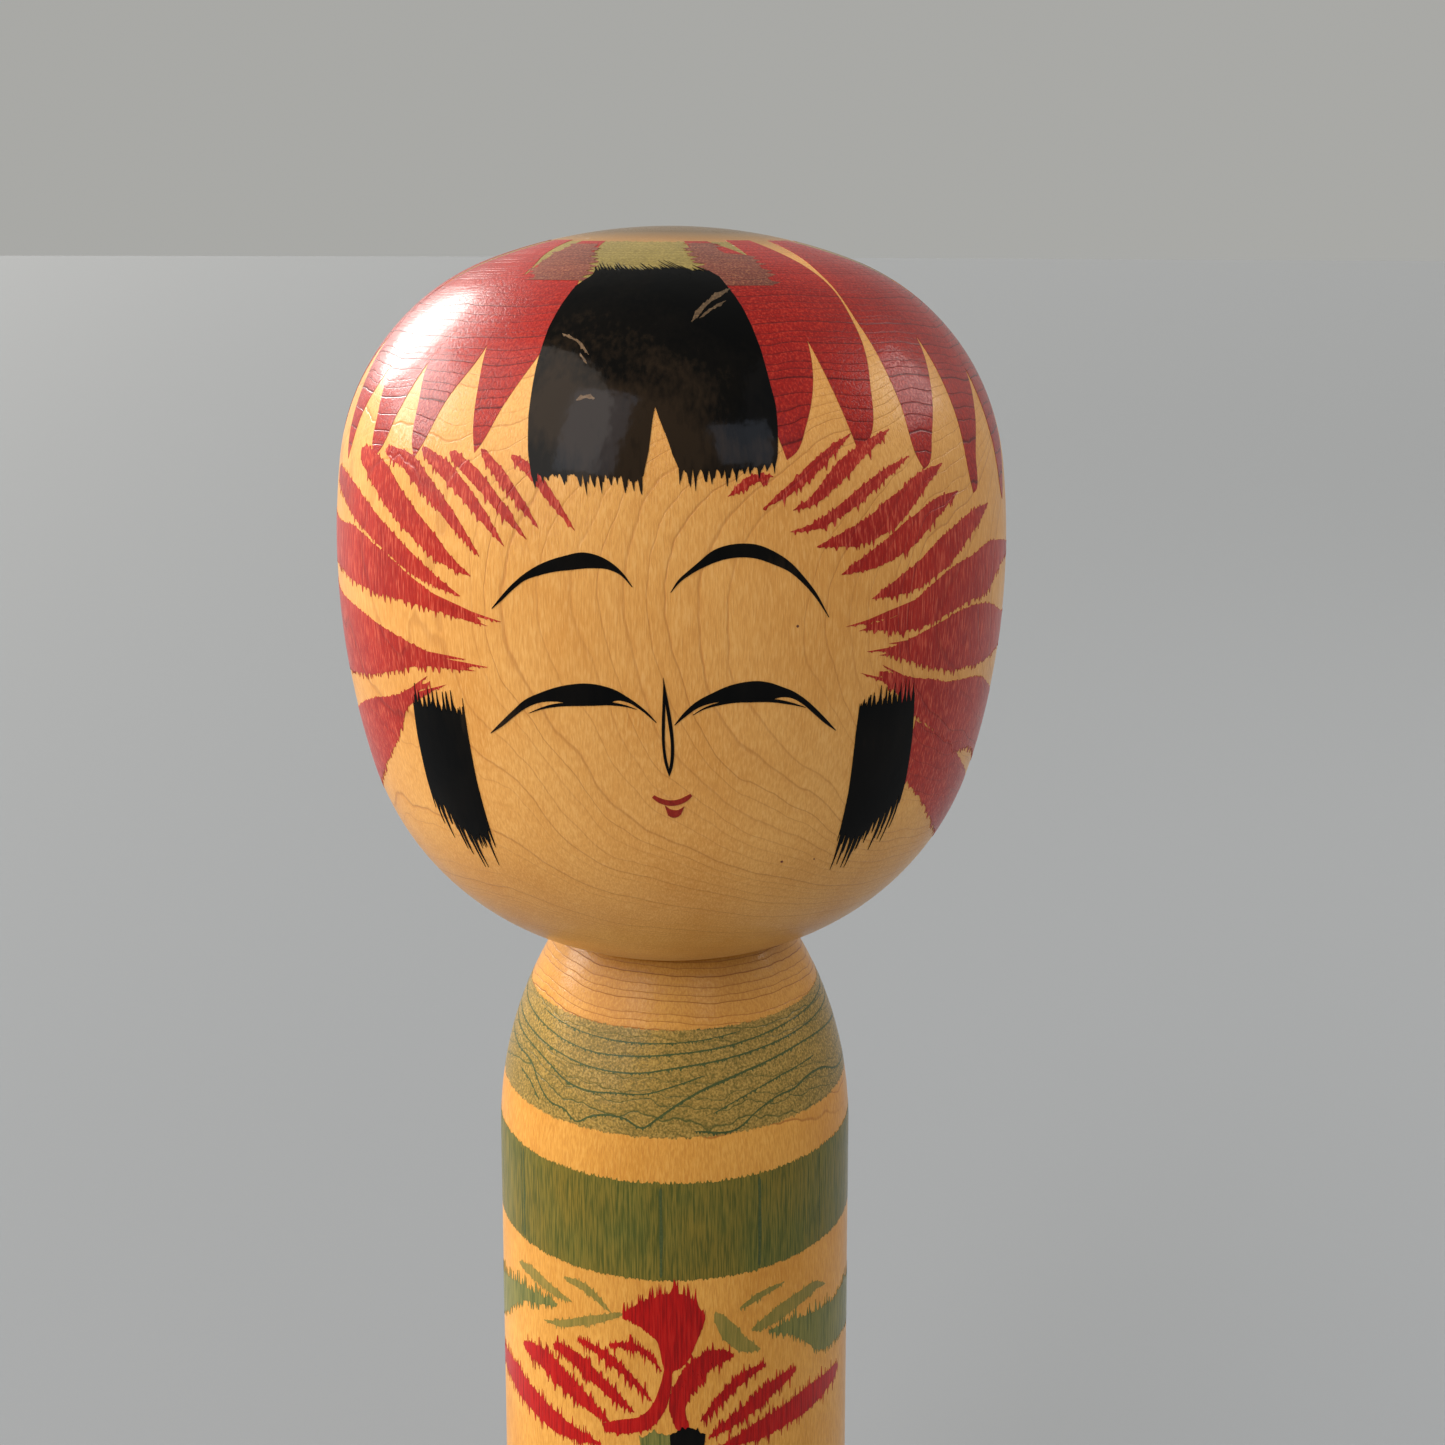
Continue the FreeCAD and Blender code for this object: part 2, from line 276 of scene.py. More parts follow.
# each finish: its light and dark patches, growth lines, fibre flecks and glints, and its own grain
woodFinishes = {
    # honey wood with wandering growth lines and a fine upright sparkle, its crown's top browned partly as
    # open grain and partly as painted shade
    "varnishedTurnedMapleHead": {
        "light": "#DCA156", "patch": "#CE8F44", "line": "#9A5A26", "fleck": "#B06E30", "glint": "#EDBE7C",
        "lineDepth": 0.42, "fleckDepth": 0.27, "glintDepth": 0.23, "fibreLength": 6.0,
        "fibreWidth": 0.2, "endGrainAndShade": (0.2990, 0.3022, 0.95),
    },
    # the same, browner, with level growth lines only above the shoulder
    "varnishedTurnedMapleBody": {
        "light": "#D39845", "patch": "#C28433", "line": "#8C501D", "fleck": "#AD6E2C", "glint": "#DDA859",
        **bodyGrain, "lineDepth": 1.0, "evenness": 0.5, "fleckDepth": 0.4, "fibreLength": 6.0,
        "fibreWidth": 0.24, "endGrainAndShade": (0.190, 0.2036, 0.3),
    },
    # clear dye on the crown: the growth lines show through as dark level threads
    "crimsonDyeOnMaple": {
        "light": "#A31B10", "patch": "#8C140D", "line": "#460505", "fleck": "#6A0C09", "glint": "#BE4029",
        **crownGrain, "ringSpacing": 0.72, "lineDepth": 0.9, "evenness": 0.6, "fleckDepth": 0.5,
        "glintDepth": 0.5, "fibreLength": 1.6,
    },
    # thinner dye, streaked where the upright fibres took less of it
    "crimsonDyeOnTemples": {
        "light": "#AE2718", "patch": "#961A12", "line": "#5A0A08", "fleck": "#7A110D", "glint": "#D4674A",
        "lineDepth": 0.35, "fleckDepth": 0.45, "glintDepth": 0.55, "fibreLength": 9.0,
        "fibreWidth": 0.22,
    },
    # the same dye, brownish in a small mark
    "crimsonDyeOnLips": {
        "light": "#96281A", "patch": "#7E1C12", "line": "#5A0F0A", "fleck": "#6C160E", "glint": "#9C3422",
    },
    # full strength dye that runs in long streaks down the wall
    "crimsonDyeOnBodyMaple": {
        "light": "#AC0D08", "patch": "#960604", "line": "#6E0404", "fleck": "#760403", "glint": "#BC2A1C",
        **bodyGrain, "lineDepth": 0.3, "fleckDepth": 0.7, "fibreLength": 20.0,
    },
    # olive dye pricked with the dark pores of the shoulder's open grain
    "oliveDyeOnShoulder": {
        "light": "#9E7C3A", "patch": "#84692F", "line": "#40481F", "fleck": "#3F441B", "glint": "#BA9A52",
        **bodyGrain, "lineDepth": 0.85, "fleckDepth": 0.62, "glintDepth": 0.5, "fibreLength": 1.1,
        "fibreWidth": 0.3, "waviness": 0.35,
    },
    # the same dye, dark where a growth line drank more of it
    "oliveDyeInGrowthLines": {
        "light": "#48502A", "patch": "#3E4826", "line": "#303A1C", "fleck": "#343E1E", "glint": "#5A602F",
        **bodyGrain, "fibreLength": 1.5,
    },
    # mossy dye combed into fine upright streaks
    "greenDyeOnWall": {
        "light": "#74601E", "patch": "#5E5C24", "line": "#3A4719", "fleck": "#364217", "glint": "#8E762E",
        **bodyGrain, "lineDepth": 0.1, "fleckDepth": 0.7, "glintDepth": 0.35, "fibreLength": 16.0,
        "fibreWidth": 0.22,
    },
    # a thin wash that lets the wood's brown through
    "thinLeafDyeOnMaple": {
        "light": "#8F7836", "patch": "#786C2F", "line": "#5C5A28", "fleck": "#636029", "glint": "#A98844",
        **bodyGrain, "lineDepth": 0.1, "fleckDepth": 0.5, "fibreLength": 20.0,
    },
    # a second wash over it, greener and more streaked
    "deepLeafDyeOnMaple": {
        "light": "#7A7236", "patch": "#646632", "line": "#445024", "fleck": "#485226", "glint": "#948444",
        **bodyGrain, "lineDepth": 0.1, "fleckDepth": 0.8, "fibreLength": 20.0,
    },
    # the yellowish ring round the crown, with level lines
    "oliveDyeOnCrown": {
        "light": "#94803F", "patch": "#7F6E36", "line": "#54461F", "fleck": "#605226", "glint": "#AD9858",
        **crownGrain, "lineDepth": 0.8, "evenness": 0.6, "fleckDepth": 0.5,
    },
    # olive brushed over crimson: a rusty brown with dark lines
    "oliveOverCrimsonOnCrown": {
        "light": "#84402F", "patch": "#6A3A2E", "line": "#3E1E16", "fleck": "#5A2A20", "glint": "#A06A48",
        **crownGrain, "lineDepth": 0.95, "evenness": 0.75, "fleckDepth": 0.6, "glintDepth": 0.6,
        "fibreLength": 1.4,
    },
    # hairlines where the ink is rubbed down to the brown of the wood
    "rubbedInkOnMaple": {
        "light": "#6A523A", "patch": "#4A3A28", "line": "#332618", "fleck": "#33271A", "glint": "#8A7050",
    },
}
# the brown of open grain, which on the crown's top also serves as painted shade
openGrainAndShadeBrown = "#5C4A30"
# thin aged varnish, IOR 1.3: a soft shine over wood and dye, a sharper one over ink
varnishes = {
    "wood": {"relief": 0.45, "Roughness": 0.5, "Specular IOR Level": 0.06, "Coat Weight": 0.66,
             "Coat Roughness": 0.14},
    "ink": {"relief": 0.4, "Roughness": 0.42, "Specular IOR Level": 0.0, "Coat Weight": 0.5,
            "Coat Roughness": 0.09},
}


def emptyMaterial(name):
    material = bpy.data.materials.new(name)
    material.use_nodes = True
    material.node_tree.nodes.clear()
    return material, material.node_tree


def addVarnish(tree, colour, height, varnish):
    # the coloured surface under its varnish, both bent by the same relief of 0.22 mm at most
    bump = addNode(tree, "Bump", {"Height": height, "Strength": varnish["relief"], "Distance": 0.00022})
    gloss = {key: value for key, value in varnish.items() if key != "relief"}
    shader = addNode(tree, "BsdfPrincipled", {"Base Color": colour, "Normal": bump, "Coat Normal": bump,
                                              "IOR": 1.5, "Coat IOR": 1.3, **gloss})
    addNode(tree, "OutputMaterial", {"Surface": shader})


def woodMaterial(name, finish):
    # Maple turned to a shine and varnished. Growth rings lie round the tree's heart, so they show as level
    # lines where the surface leans and as upright waves where it is upright. Short fibre flecks run upright.
    look = {**mapleGrain, **finish}
    material, tree = emptyMaterial(name)
    place = addNode(tree, "TexCoord").outputs["Object"]
    x, y, z = addNode(tree, "SeparateXYZ", {"Vector": place}).outputs
    fibreAcross, fibreAlong = 970.0 / look["fibreWidth"], 3400.0 / look["fibreLength"]
    patterns = {  # scale along x, y and z, detail and roughness
        "swells": ((40.0, 40.0, 15.0), 2.0, 0.45),  # about 26 mm wide
        "ripples": ((230.0, 230.0, 120.0), 2.0, 0.55),  # about 5 mm wide
        "fibres": ((fibreAcross, fibreAcross, fibreAlong), 2.0, 0.6),
        "blotches": ((60.0, 60.0, 34.0), 4.0, 0.6),  # about 17 mm wide
    }
    noise = {}
    for key, (scale, detail, rough) in patterns.items():
        stretched = addNode(tree, "Mapping", {"Vector": place, "Scale": scale})
        noise[key] = addNode(tree, "TexNoise", {"Vector": stretched, "Scale": 1.0, "Detail": detail,
                                                "Roughness": rough})
    # the heart runs upright beside the axis and bows back towards it at crown and chin
    fromWidest = addNode(tree, "Math", {0: z, 1: 0.252}, operation="SUBTRACT")
    bowed = addNode(tree, "Math", {0: fromWidest, 1: fromWidest}, operation="MULTIPLY")
    heartX = addNode(tree, "Math", {0: bowed, 1: look["bow"], 2: look["pith"][0] * 0.001},
                     operation="MULTIPLY_ADD")
    fromX = addNode(tree, "Math", {0: x, 1: heartX}, operation="SUBTRACT")
    fromY = addNode(tree, "Math", {0: y, 1: look["pith"][1] * 0.001}, operation="SUBTRACT")
    squareX = addNode(tree, "Math", {0: fromX, 1: fromX}, operation="MULTIPLY")
    squares = addNode(tree, "Math", {0: fromY, 1: fromY, 2: squareX}, operation="MULTIPLY_ADD")
    distance = addNode(tree, "Math", {0: squares}, operation="SQRT")
    warped = addNode(tree, "Math", {0: noise["swells"], 1: look["warp"], 2: distance},
                     operation="MULTIPLY_ADD")
    rippled = addNode(tree, "Math", {0: noise["ripples"], 1: 0.001 * look["waviness"] * 2.4, 2: warped},
                      operation="MULTIPLY_ADD")
    # years are counted outwards, some wide and some narrow, and each ends in a dark line of late wood
    count = addNode(tree, "Math", {0: rippled, 1: 1000.0 / look["ringSpacing"]}, operation="MULTIPLY")
    uneven = addNode(tree, "TexNoise", {"W": count, "Scale": 0.31, "Detail": 1.0}, noise_dimensions="1D")
    years = addNode(tree, "Math", {0: uneven, 1: 2.2, 2: count}, operation="MULTIPLY_ADD")
    year = addNode(tree, "Math", {0: years}, operation="FRACT")
    lateWood = addNode(tree, "ValToRGB", {"Fac": year},
                       stops=[(0.0, 0.1), (0.04, 0.0), (0.6, 0.04), (0.88, 0.22), (0.94, 1.0), (0.97, 1.0),
                              (1.0, 0.1)])
    strength = addNode(tree, "ValToRGB", {"Fac": uneven}, stops=[(0.34, look["evenness"]), (0.6, 1.0)])
    # upright walls cut the rings so flat that no line shows there
    shown = addNode(tree, "MapRange", {"Value": z, "From Min": look["lineHeights"][0],
                                       "From Max": look["lineHeights"][1]})
    strong = addNode(tree, "Math", {0: strength, 1: shown}, operation="MULTIPLY")
    lines = addNode(tree, "Math", {0: lateWood, 1: strong}, operation="MULTIPLY")
    flecks = addNode(tree, "ValToRGB", {"Fac": noise["fibres"]}, stops=[(0.47, 0.0), (0.64, 1.0)])
    glints = addNode(tree, "ValToRGB", {"Fac": noise["fibres"]}, stops=[(0.34, 1.0), (0.47, 0.0)])
    patches = addNode(tree, "ValToRGB", {"Fac": noise["blotches"]}, stops=[(0.36, 0.0), (0.66, 1.0)])
    colour = addNode(tree, "Mix", {"Factor": patches, "A": linear(look["light"]), "B": linear(look["patch"])},
                     data_type="RGBA")
    for part, mask in (("fleck", flecks), ("glint", glints), ("line", lines)):
        share = addNode(tree, "Math", {0: mask, 1: look[part + "Depth"]}, operation="MULTIPLY")
        colour = addNode(tree, "Mix", {"Factor": share, "A": colour, "B": linear(look[part])},
                         data_type="RGBA")
    # the open ends of the fibres, on the crown's top and the shoulder, drink more varnish and are browner;
    # the crown's top is browned further as painted shade for its dim light from above
    low, high, most = look["endGrainAndShade"]
    openEndsAndShade = addNode(tree, "MapRange", {"Value": z, "From Min": low, "From Max": high, "To Max": most})
    colour = addNode(tree, "Mix", {"Factor": openEndsAndShade, "A": colour, "B": linear(openGrainAndShadeBrown)},
                     data_type="RGBA")
    # the varnish sinks a little along the growth lines and fibres and has faint brush swells 6 mm wide
    swell = addNode(tree, "TexNoise", {"Vector": place, "Scale": 160.0, "Detail": 3.0})
    sunkLines = addNode(tree, "Math", {0: lines, 1: -0.35, 2: swell}, operation="MULTIPLY_ADD")
    height = addNode(tree, "Math", {0: flecks, 1: -0.14, 2: sunkLines}, operation="MULTIPLY_ADD")
    addVarnish(tree, colour, height, varnishes["wood"])
    return material


def inkMaterial(name):
    # Soot ink brushed on and varnished: almost black and very glossy, browner where the brush ran thin,
    # with fine upright streaks.
    material, tree = emptyMaterial(name)
    place = addNode(tree, "TexCoord").outputs["Object"]
    thin = addNode(tree, "TexNoise", {"Vector": place, "Scale": 55.0, "Detail": 3.0, "Roughness": 0.55})
    upright = addNode(tree, "Mapping", {"Vector": place, "Scale": (1500.0, 1500.0, 110.0)})
    streak = addNode(tree, "TexNoise", {"Vector": upright, "Scale": 1.0, "Detail": 2.0})  # 0.7 mm wide
    both = addNode(tree, "Math", {0: streak, 1: 0.22, 2: thin}, operation="MULTIPLY_ADD")
    tone = addNode(tree, "ValToRGB", {"Fac": both},
                   stops=[(0.5, "#010101"), (0.66, "#080604"), (0.8, "#261C12")])
    swell = addNode(tree, "TexNoise", {"Vector": place, "Scale": 190.0, "Detail": 3.0})
    addVarnish(tree, tone, swell, varnishes["ink"])
    return material


finishes = {name: woodMaterial(name, finish) for name, finish in woodFinishes.items()}
sumiInk = inkMaterial("varnishedSootInk")
print("materials made")


# the two turned pieces of wood

def headProfile(h):
    # crown to chin along the arcs, the softened seat edge, the flat under the head, then the spigot
    count = int(arcEnds[-1] / h["step"])
    along = np.linspace(0, arcEnds[-1] - h["seatSoftening"], count)
    radius, height, lean = headOutline(along)
    skin = np.stack([radius, height], -1).tolist()
    seat = (h["seatRadius"], h["seatHeight"])
    foot = h["seatHeight"] - h["spigotLength"]
    rim = corner(skin[-1], seat, (0, seat[1]), h["seatSoftening"])[1:]
    spigot, chamfer = h["spigotRadius"], h["spigotChamfer"]
    under = [(h["seatRing"], seat[1]), (spigot, seat[1])]
    upright = [(spigot, z) for z in np.linspace(seat[1] - 0.4, foot + chamfer, h["uprightRings"])]
    return skin + rim + under + upright + [(spigot - chamfer, foot), (h["endRing"], foot), (0.0, foot)]


def bodyProfile(b):
    # from the socket's floor up its wall, over the seat and shoulder, down the wall, into the hollow foot
    seatZ = b["seatHeight"]
    floorZ = seatZ - b["socketDepth"]
    socket, chamfer = b["socketRadius"], b["socketChamfer"]
    inside = [(0.0, floorZ), (b["endRing"], floorZ), (socket - 0.01, floorZ)]
    inside += [(socket, z) for z in np.linspace(floorZ + 0.2, seatZ - chamfer, b["uprightRings"])]
    seat = [(socket + chamfer, seatZ), (b["seatRing"], seatZ)]
    heights = np.linspace(seatZ - 0.3, b["footSoftening"], int(seatZ / b["step"]))
    radius = bodyOutline(heights)[0]
    skin = np.stack([radius, heights], -1).tolist()
    rim = corner(seat[-1], (b["seatRadius"], seatZ), skin[1], b["seatSoftening"])
    hollow, roof = b["footHollowRadius"], b["footHollowDepth"]
    foot = corner(skin[-1], (b["footRadius"], 0.0), (hollow, 0.0), b["footSoftening"])
    under = [(b["footRing"], 0.0), (hollow, 0.0), (hollow, roof), (b["hollowRing"], roof), (0.0, roof)]
    return inside + seat + rim + skin[1:-1] + foot + under


headPiece = turnOnLathe("head_maple", headProfile(headShape), headShape["around"],
                        finishes["varnishedTurnedMapleHead"], onHead)
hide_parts("head")
bodyPiece = turnOnLathe("body_maple", bodyProfile(bodyShape), bodyShape["around"],
                        finishes["varnishedTurnedMapleBody"], onBody)
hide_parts("body")
print("turned wood made")


# paint films

# Each mark of dye or ink is a closed film a few hundredths of a mm proud of the wood and pressed into it
# below, so its edge is a real edge.
sinkDepth = 0.1


def layFilm(surface, flat, lift):
    # flat is a grid of places (turn, along); the film's top is that grid laid on the wood and lifted,
    # its underside is the same grid sunk into the wood, and walls close the rim
    rows, columns = flat.shape[:2]
    top = layOn(surface, flat[..., 0], flat[..., 1], lift)
    under = layOn(surface, flat[..., 0], flat[..., 1], -sinkDepth)
    here = np.arange(rows * columns).reshape(rows, columns)
    quads = np.stack([here[:-1, :-1], here[1:, :-1], here[1:, 1:], here[:-1, 1:]], -1).reshape(-1, 4)
    lower = quads[:, ::-1] + rows * columns
    rim = np.concatenate([here[:-1, 0], here[-1, :-1], here[:0:-1, -1], here[0, :0:-1]])
    ahead = np.roll(rim, -1)
    walls = np.stack([ahead, rim, rim + rows * columns, ahead + rows * columns], -1)
    across = np.cross(top[1:, :-1] - top[:-1, :-1], top[:-1, 1:] - top[:-1, :-1])
    faces = np.concatenate([quads, lower, walls])
    if (across * (top - under)[:-1, :-1]).sum() < 0:
        faces = faces[:, ::-1]
    return np.concatenate([top.reshape(-1, 3), under.reshape(-1, 3)]), faces


def ruled(a, b, across):
    # a grid ruled straight from each point of edge a to the same point of edge b, in equal shares
    share = np.linspace(0, 1, across + 1)[None, :, None]
    return a[:, None] * (1 - share) + b[:, None] * share


def paintPiece(name, surface, films, material):
    # joins the films of one kind into one piece
    points, faces, start = [], [], 0
    for filmPoints, filmFaces in films:
        points.append(filmPoints)
        faces.append(filmFaces + start)
        start += len(filmPoints)
    return makeMesh(name, np.concatenate(points), np.concatenate(faces).tolist(), material, surface)


def fray(edge, reach, seed, spacing):
    # the dye creeps along the grain: each point of the edge moves along by a random spike of its own turn
    creep = reach * bristle(edge[:, 0], spacing, seed, 3.0)
    return np.stack([edge[:, 0], edge[:, 1] + creep], -1)


def ruledFilm(surface, edgeA, edgeB, lift, across=6, step=0.3, frayA=0.0, frayB=0.0, seed=1, spacing=0.55):
    # a film ruled straight between two smooth edges, each frayed along the grain
    length = max(stepLengths(np.array(edge)).sum() for edge in (edgeA, edgeB))
    count = max(16, int(length / step))
    a = fray(curveThrough(edgeA, count), frayA, seed, spacing)
    b = fray(curveThrough(edgeB, count), frayB, seed + 1, spacing)
    return layFilm(surface, ruled(a, b, across), lift)


def strokeFilm(surface, path, width, lift, taper, across=4, step=0.14, creepUp=0.0, creepDown=0.0, seed=1,
               spacing=0.3):
    # a brush stroke: a smooth path with half the width set off to each side of it, square to its run, and
    # narrowed by the taper at its ends; creepDown and creepUp are how far its lower and its upper edge
    # creep along the grain
    path = np.asarray(path, float)
    count = max(10, int(stepLengths(path).sum() / step))
    line = curveThrough(path, count)
    radius = np.maximum(surface["outline"](line[:, 1])[0], 1.0)
    sidewaysMm = np.radians(np.gradient(line[:, 0])) * radius
    alongMm = np.gradient(line[:, 1])
    length = np.hypot(sidewaysMm, alongMm) + 1e-9
    t = np.linspace(0, 1, count)
    half = 0.5 * width * np.interp(t, [p[0] for p in taper], [p[1] for p in taper])
    offTurn = np.degrees(-alongMm / length * half / radius)
    offAlong = sidewaysMm / length * half
    a = np.stack([line[:, 0] + offTurn, line[:, 1] + offAlong], -1)
    b = np.stack([line[:, 0] - offTurn, line[:, 1] - offAlong], -1)
    keep = np.clip(half / (0.12 * width + 1e-9), 0, 1)  # the thin ends don't creep
    sign = np.sign(offAlong.sum()) or 1.0
    for edge, side in ((a, sign), (b, -sign)):
        # short creep everywhere and a long thread here and there
        reach = creepDown if side == surface["down"] else creepUp
        shortCreep = 0.2 * bristle(edge[:, 0], spacing, seed, 1.5) - 0.05
        edge[:, 1] += side * reach * keep * (shortCreep + bristle(edge[:, 0], spacing, seed + 1, 6.0))
        seed += 2
    return layFilm(surface, ruled(a, b, across), lift)


def hairFilm(surface, left, right, top, bottom, columns, rows, topLength, bottomLength, seed, tooth,
             raggedness, lean=0.0, calm=(0.0, 0.0)):
    # a block of combed hair: columns from its left to its right edge, whose ends are teeth of random length
    u = np.linspace(0, 1, columns)
    crest = top[0][1]
    middle = 0.5 * (crest + bottom[0][1])
    left, right = np.array(left, float), np.array(right, float)
    wide = (np.interp(middle, left[:, 1], left[:, 0]) * (1 - u)
            + np.interp(middle, right[:, 1], right[:, 0]) * u)
    top = np.interp(wide, [p[0] for p in top], [p[1] for p in top])
    bottom = np.interp(wide, [p[0] for p in bottom], [p[1] for p in bottom])
    top = top - topLength * (0.8 * teeth(wide, tooth, seed, raggedness)
                             + 0.3 * teeth(wide, 0.43 * tooth, seed + 2))
    # no teeth inside the notch, whose turns calm gives
    bottomLength = bottomLength * np.where((wide > calm[0]) & (wide < calm[1]), 0.05, 1.0)
    bottom = bottom + bottomLength * (0.8 * teeth(wide, tooth, seed + 1, raggedness)
                                      + 0.3 * teeth(wide, 0.41 * tooth, seed + 3))
    v = np.linspace(0, 1, rows)[:, None]
    along = top * (1 - v) + bottom * v
    turn = np.interp(along, left[:, 1], left[:, 0]) * (1 - u) + np.interp(along, right[:, 1], right[:, 0]) * u
    turn = turn - lean * np.maximum(crest - along, 0)
    return layFilm(surface, np.stack([turn, along], -1), hairLift)


def ringFilm(surface, low, high, lift, creepLow, creepHigh, columns, rows, seed=3, spacing=0.6,
             start=-180.0, end=180.0):
    # a band round the axis: columns between two level edges, each frayed along the grain
    turn = np.linspace(start, end, columns)
    lowEdge = low - creepLow * bristle(turn, spacing, seed, 2.0)
    highEdge = high + creepHigh * bristle(turn, spacing, seed + 1, 2.0)
    lowEdge[-1], highEdge[-1] = lowEdge[0], highEdge[0]
    v = np.linspace(0, 1, rows)[:, None]
    return layFilm(surface, np.stack([turn + 0 * v, lowEdge * (1 - v) + highEdge * v], -1), lift)


# the red petals that radiate from the crown: each has its left and its right edge, from crown to tip
crownPetals = {
    # mm proud of the wood, degrees that petals overlap, and from where to where along the surface they do
    "lift": 0.030, "overlap": 0.35, "overlapFrom": 29, "overlapTo": 40,
    "front": [
        ([(-43, 17), (-39.7, 29), (-35.5, 42), (-34, 47), (-32.5, 53.5), (-31.7, 55.7)],
         [(-30, 17), (-23, 29), (-22, 40), (-24, 43.5), (-28, 50), (-31, 55), (-31.7, 55.7)]),
        ([(-40.2, 29), (-44, 36), (-48.3, 44.8), (-46.5, 50), (-45, 56), (-44.3, 57)],
         [(-39.2, 29), (-37.2, 36), (-35.5, 42), (-40, 50), (-43, 55.5), (-44.3, 57)]),
        ([(-61, 16.5), (-61, 31), (-61, 45.5), (-58, 52.5), (-56.5, 57), (-55.4, 57.5)],
         [(-52, 16.5), (-46, 22.5), (-40.6, 28), (-43, 35), (-48.3, 44.8), (-51.5, 52), (-54, 56.5),
          (-55.4, 57.5)]),
        ([(-70, 16.5), (-73.5, 30), (-76, 41), (-72, 50), (-69.5, 57), (-68.1, 58.9)],
         [(-61, 16.5), (-61, 31), (-61, 45.5), (-65.5, 53), (-67, 57), (-68.1, 58.9)]),
        ([(5, 17), (8, 24), (11, 30), (13, 40), (15, 50), (17.2, 56)],
         [(15, 17), (23.5, 23), (24.8, 31), (25.2, 40.8), (23.6, 47), (21, 52), (18.6, 55.3),
          (17.2, 56)]),
        ([(24.5, 16.5), (24.5, 24), (24.4, 31), (25.2, 40.8), (26.5, 46), (28, 51), (29.5, 55.5)],
         [(37, 16.5), (39.4, 27), (39.3, 31), (37.6, 38), (37, 42), (35, 47), (31.3, 54.5),
          (29.5, 55.5)]),
        ([(49, 16.5), (44.5, 23), (41.3, 28.5), (41.0, 31), (39.4, 38), (39.3, 42), (40.2, 50),
          (41.5, 57), (42.5, 58.2)],
         [(54, 16.5), (54.2, 30), (54.2, 40.8), (50, 48), (46, 54), (43.2, 58), (42.5, 58.2)]),
        ([(54, 16.5), (54.1, 30), (54.2, 40.8), (54.6, 52), (55.2, 60), (56.1, 62.2)],
         [(60, 16.5), (65, 32), (68, 46.2), (63, 52), (58.5, 57.5), (57, 62), (56.1, 62.2)]),
        ([(60, 16.5), (65, 32), (68, 46.2), (68, 52), (69.5, 60), (71.5, 64), (72.2, 64.5)],
         [(68, 16.5), (77, 31), (82, 44.5), (79, 52), (75, 60), (72.2, 64.5)]),
    ],
    # the same rhythm goes on round the back
    "backFrom": 82.0, "backTo": 284.0, "backCount": 15, "firstNotch": 44.5, "lastNotch": 41.0,
}


def backPetals(p):
    # each petal fills its share of the turn: narrow at the crown, full at two thirds, with a leaning point
    random = np.random.default_rng(21)
    edges = np.linspace(p["backFrom"], p["backTo"], p["backCount"] + 1)
    edges[1:-1] += random.uniform(-0.9, 0.9, p["backCount"] - 1)
    notches = random.uniform(41.5, 46.5, p["backCount"] + 1)
    notches[0], notches[-1] = p["firstNotch"], p["lastNotch"]
    petals = []
    for i in range(p["backCount"]):
        left, right = edges[i], edges[i + 1]
        middle = (left + right) / 2 + random.uniform(-1.5, 1.5)
        tip = random.uniform(56.5, 62.5)
        gap = 2.2 if i % 2 else 0.2
        sides = ((left, gap, notches[i]), (right, gap - 2.4, notches[i + 1]))
        petals.append([[(side + start, 16.5), (side, 28), (side, notch),
                        (side * 0.6 + middle * 0.4, notch + 7), (side * 0.2 + middle * 0.8, tip - 2),
                        (middle, tip)] for side, start, notch in sides])
    return petals


petalFilms = []
for i, (left, right) in enumerate(crownPetals["front"] + backPetals(crownPetals)):
    edges = []
    # above its notches each petal runs a little under its neighbour
    for edge, sign in ((left, -1), (right, 1)):
        edge = np.array(edge, float)
        lapped = (edge[:, 1] < crownPetals["overlapTo"]) & (edge[:, 1] > crownPetals["overlapFrom"])
        edge[:, 0] += sign * np.where(lapped, crownPetals["overlap"], 0)
        edges.append(edge)
    petalFilms.append(ruledFilm(onHead, *edges, crownPetals["lift"] + 0.007 * (i % 3), across=18, step=0.4))
paintPiece("crown_petals", onHead, petalFilms, finishes["crimsonDyeOnMaple"])

# the olive ring lies under the petals and leaves one wedge bare; where the brush went on over the petals it
# left dark stripes, level as the lathe turned
crownRing = {"low": 17.5, "high": 30.5, "lift": 0.014, "creepLow": 0.8, "creepHigh": 0.8, "columns": 700,
             "rows": 16, "start": 57.0, "end": 393.0}
paintPiece("crown_ring", onHead, [ringFilm(onHead, **crownRing)], finishes["oliveDyeOnCrown"])

overlaps = {
    "lift": 0.056, "reach": 3.6, "pitch": 0.4, "step": 0.1, "columns": 26,
    # each patch: its start turns and end turns, each after its length along the surface, and its seed
    "patches": [
        ([(18.5, -42), (22, -41), (26, -40), (30.5, -35)],
         [(18.5, -31), (22, -28.5), (26, -24), (30.5, -22.5)], 74),
        ([(18, 6.5), (22.2, 7.5), (26, 9.5), (31.5, 11)],
         [(18, 15.5), (22.2, 16.5), (23, 24.6), (31.5, 23.5)], 75),
    ],
}


def brushedPatch(start, end, seed):
    # a patch laid on as the work turned: rows at each length along the surface, each from its start turn to
    # its end turn, both drawn out by random level streaks
    o = overlaps
    along = np.arange(start[0][0], start[-1][0], o["step"])
    first = np.interp(along, *np.transpose(start)) - o["reach"] * bristle(along, o["pitch"], seed, 2.5)
    last = np.interp(along, *np.transpose(end)) + o["reach"] * bristle(along, o["pitch"], seed + 1, 2.5)
    share = np.linspace(0, 1, o["columns"])
    turn = first[:, None] * (1 - share) + last[:, None] * share
    return layFilm(onHead, np.stack([turn, along[:, None] + 0 * turn], -1), o["lift"])


paintPiece("crown_overlap", onHead, [brushedPatch(*patch) for patch in overlaps["patches"]],
           finishes["oliveOverCrimsonOnCrown"])
print("crown painted")

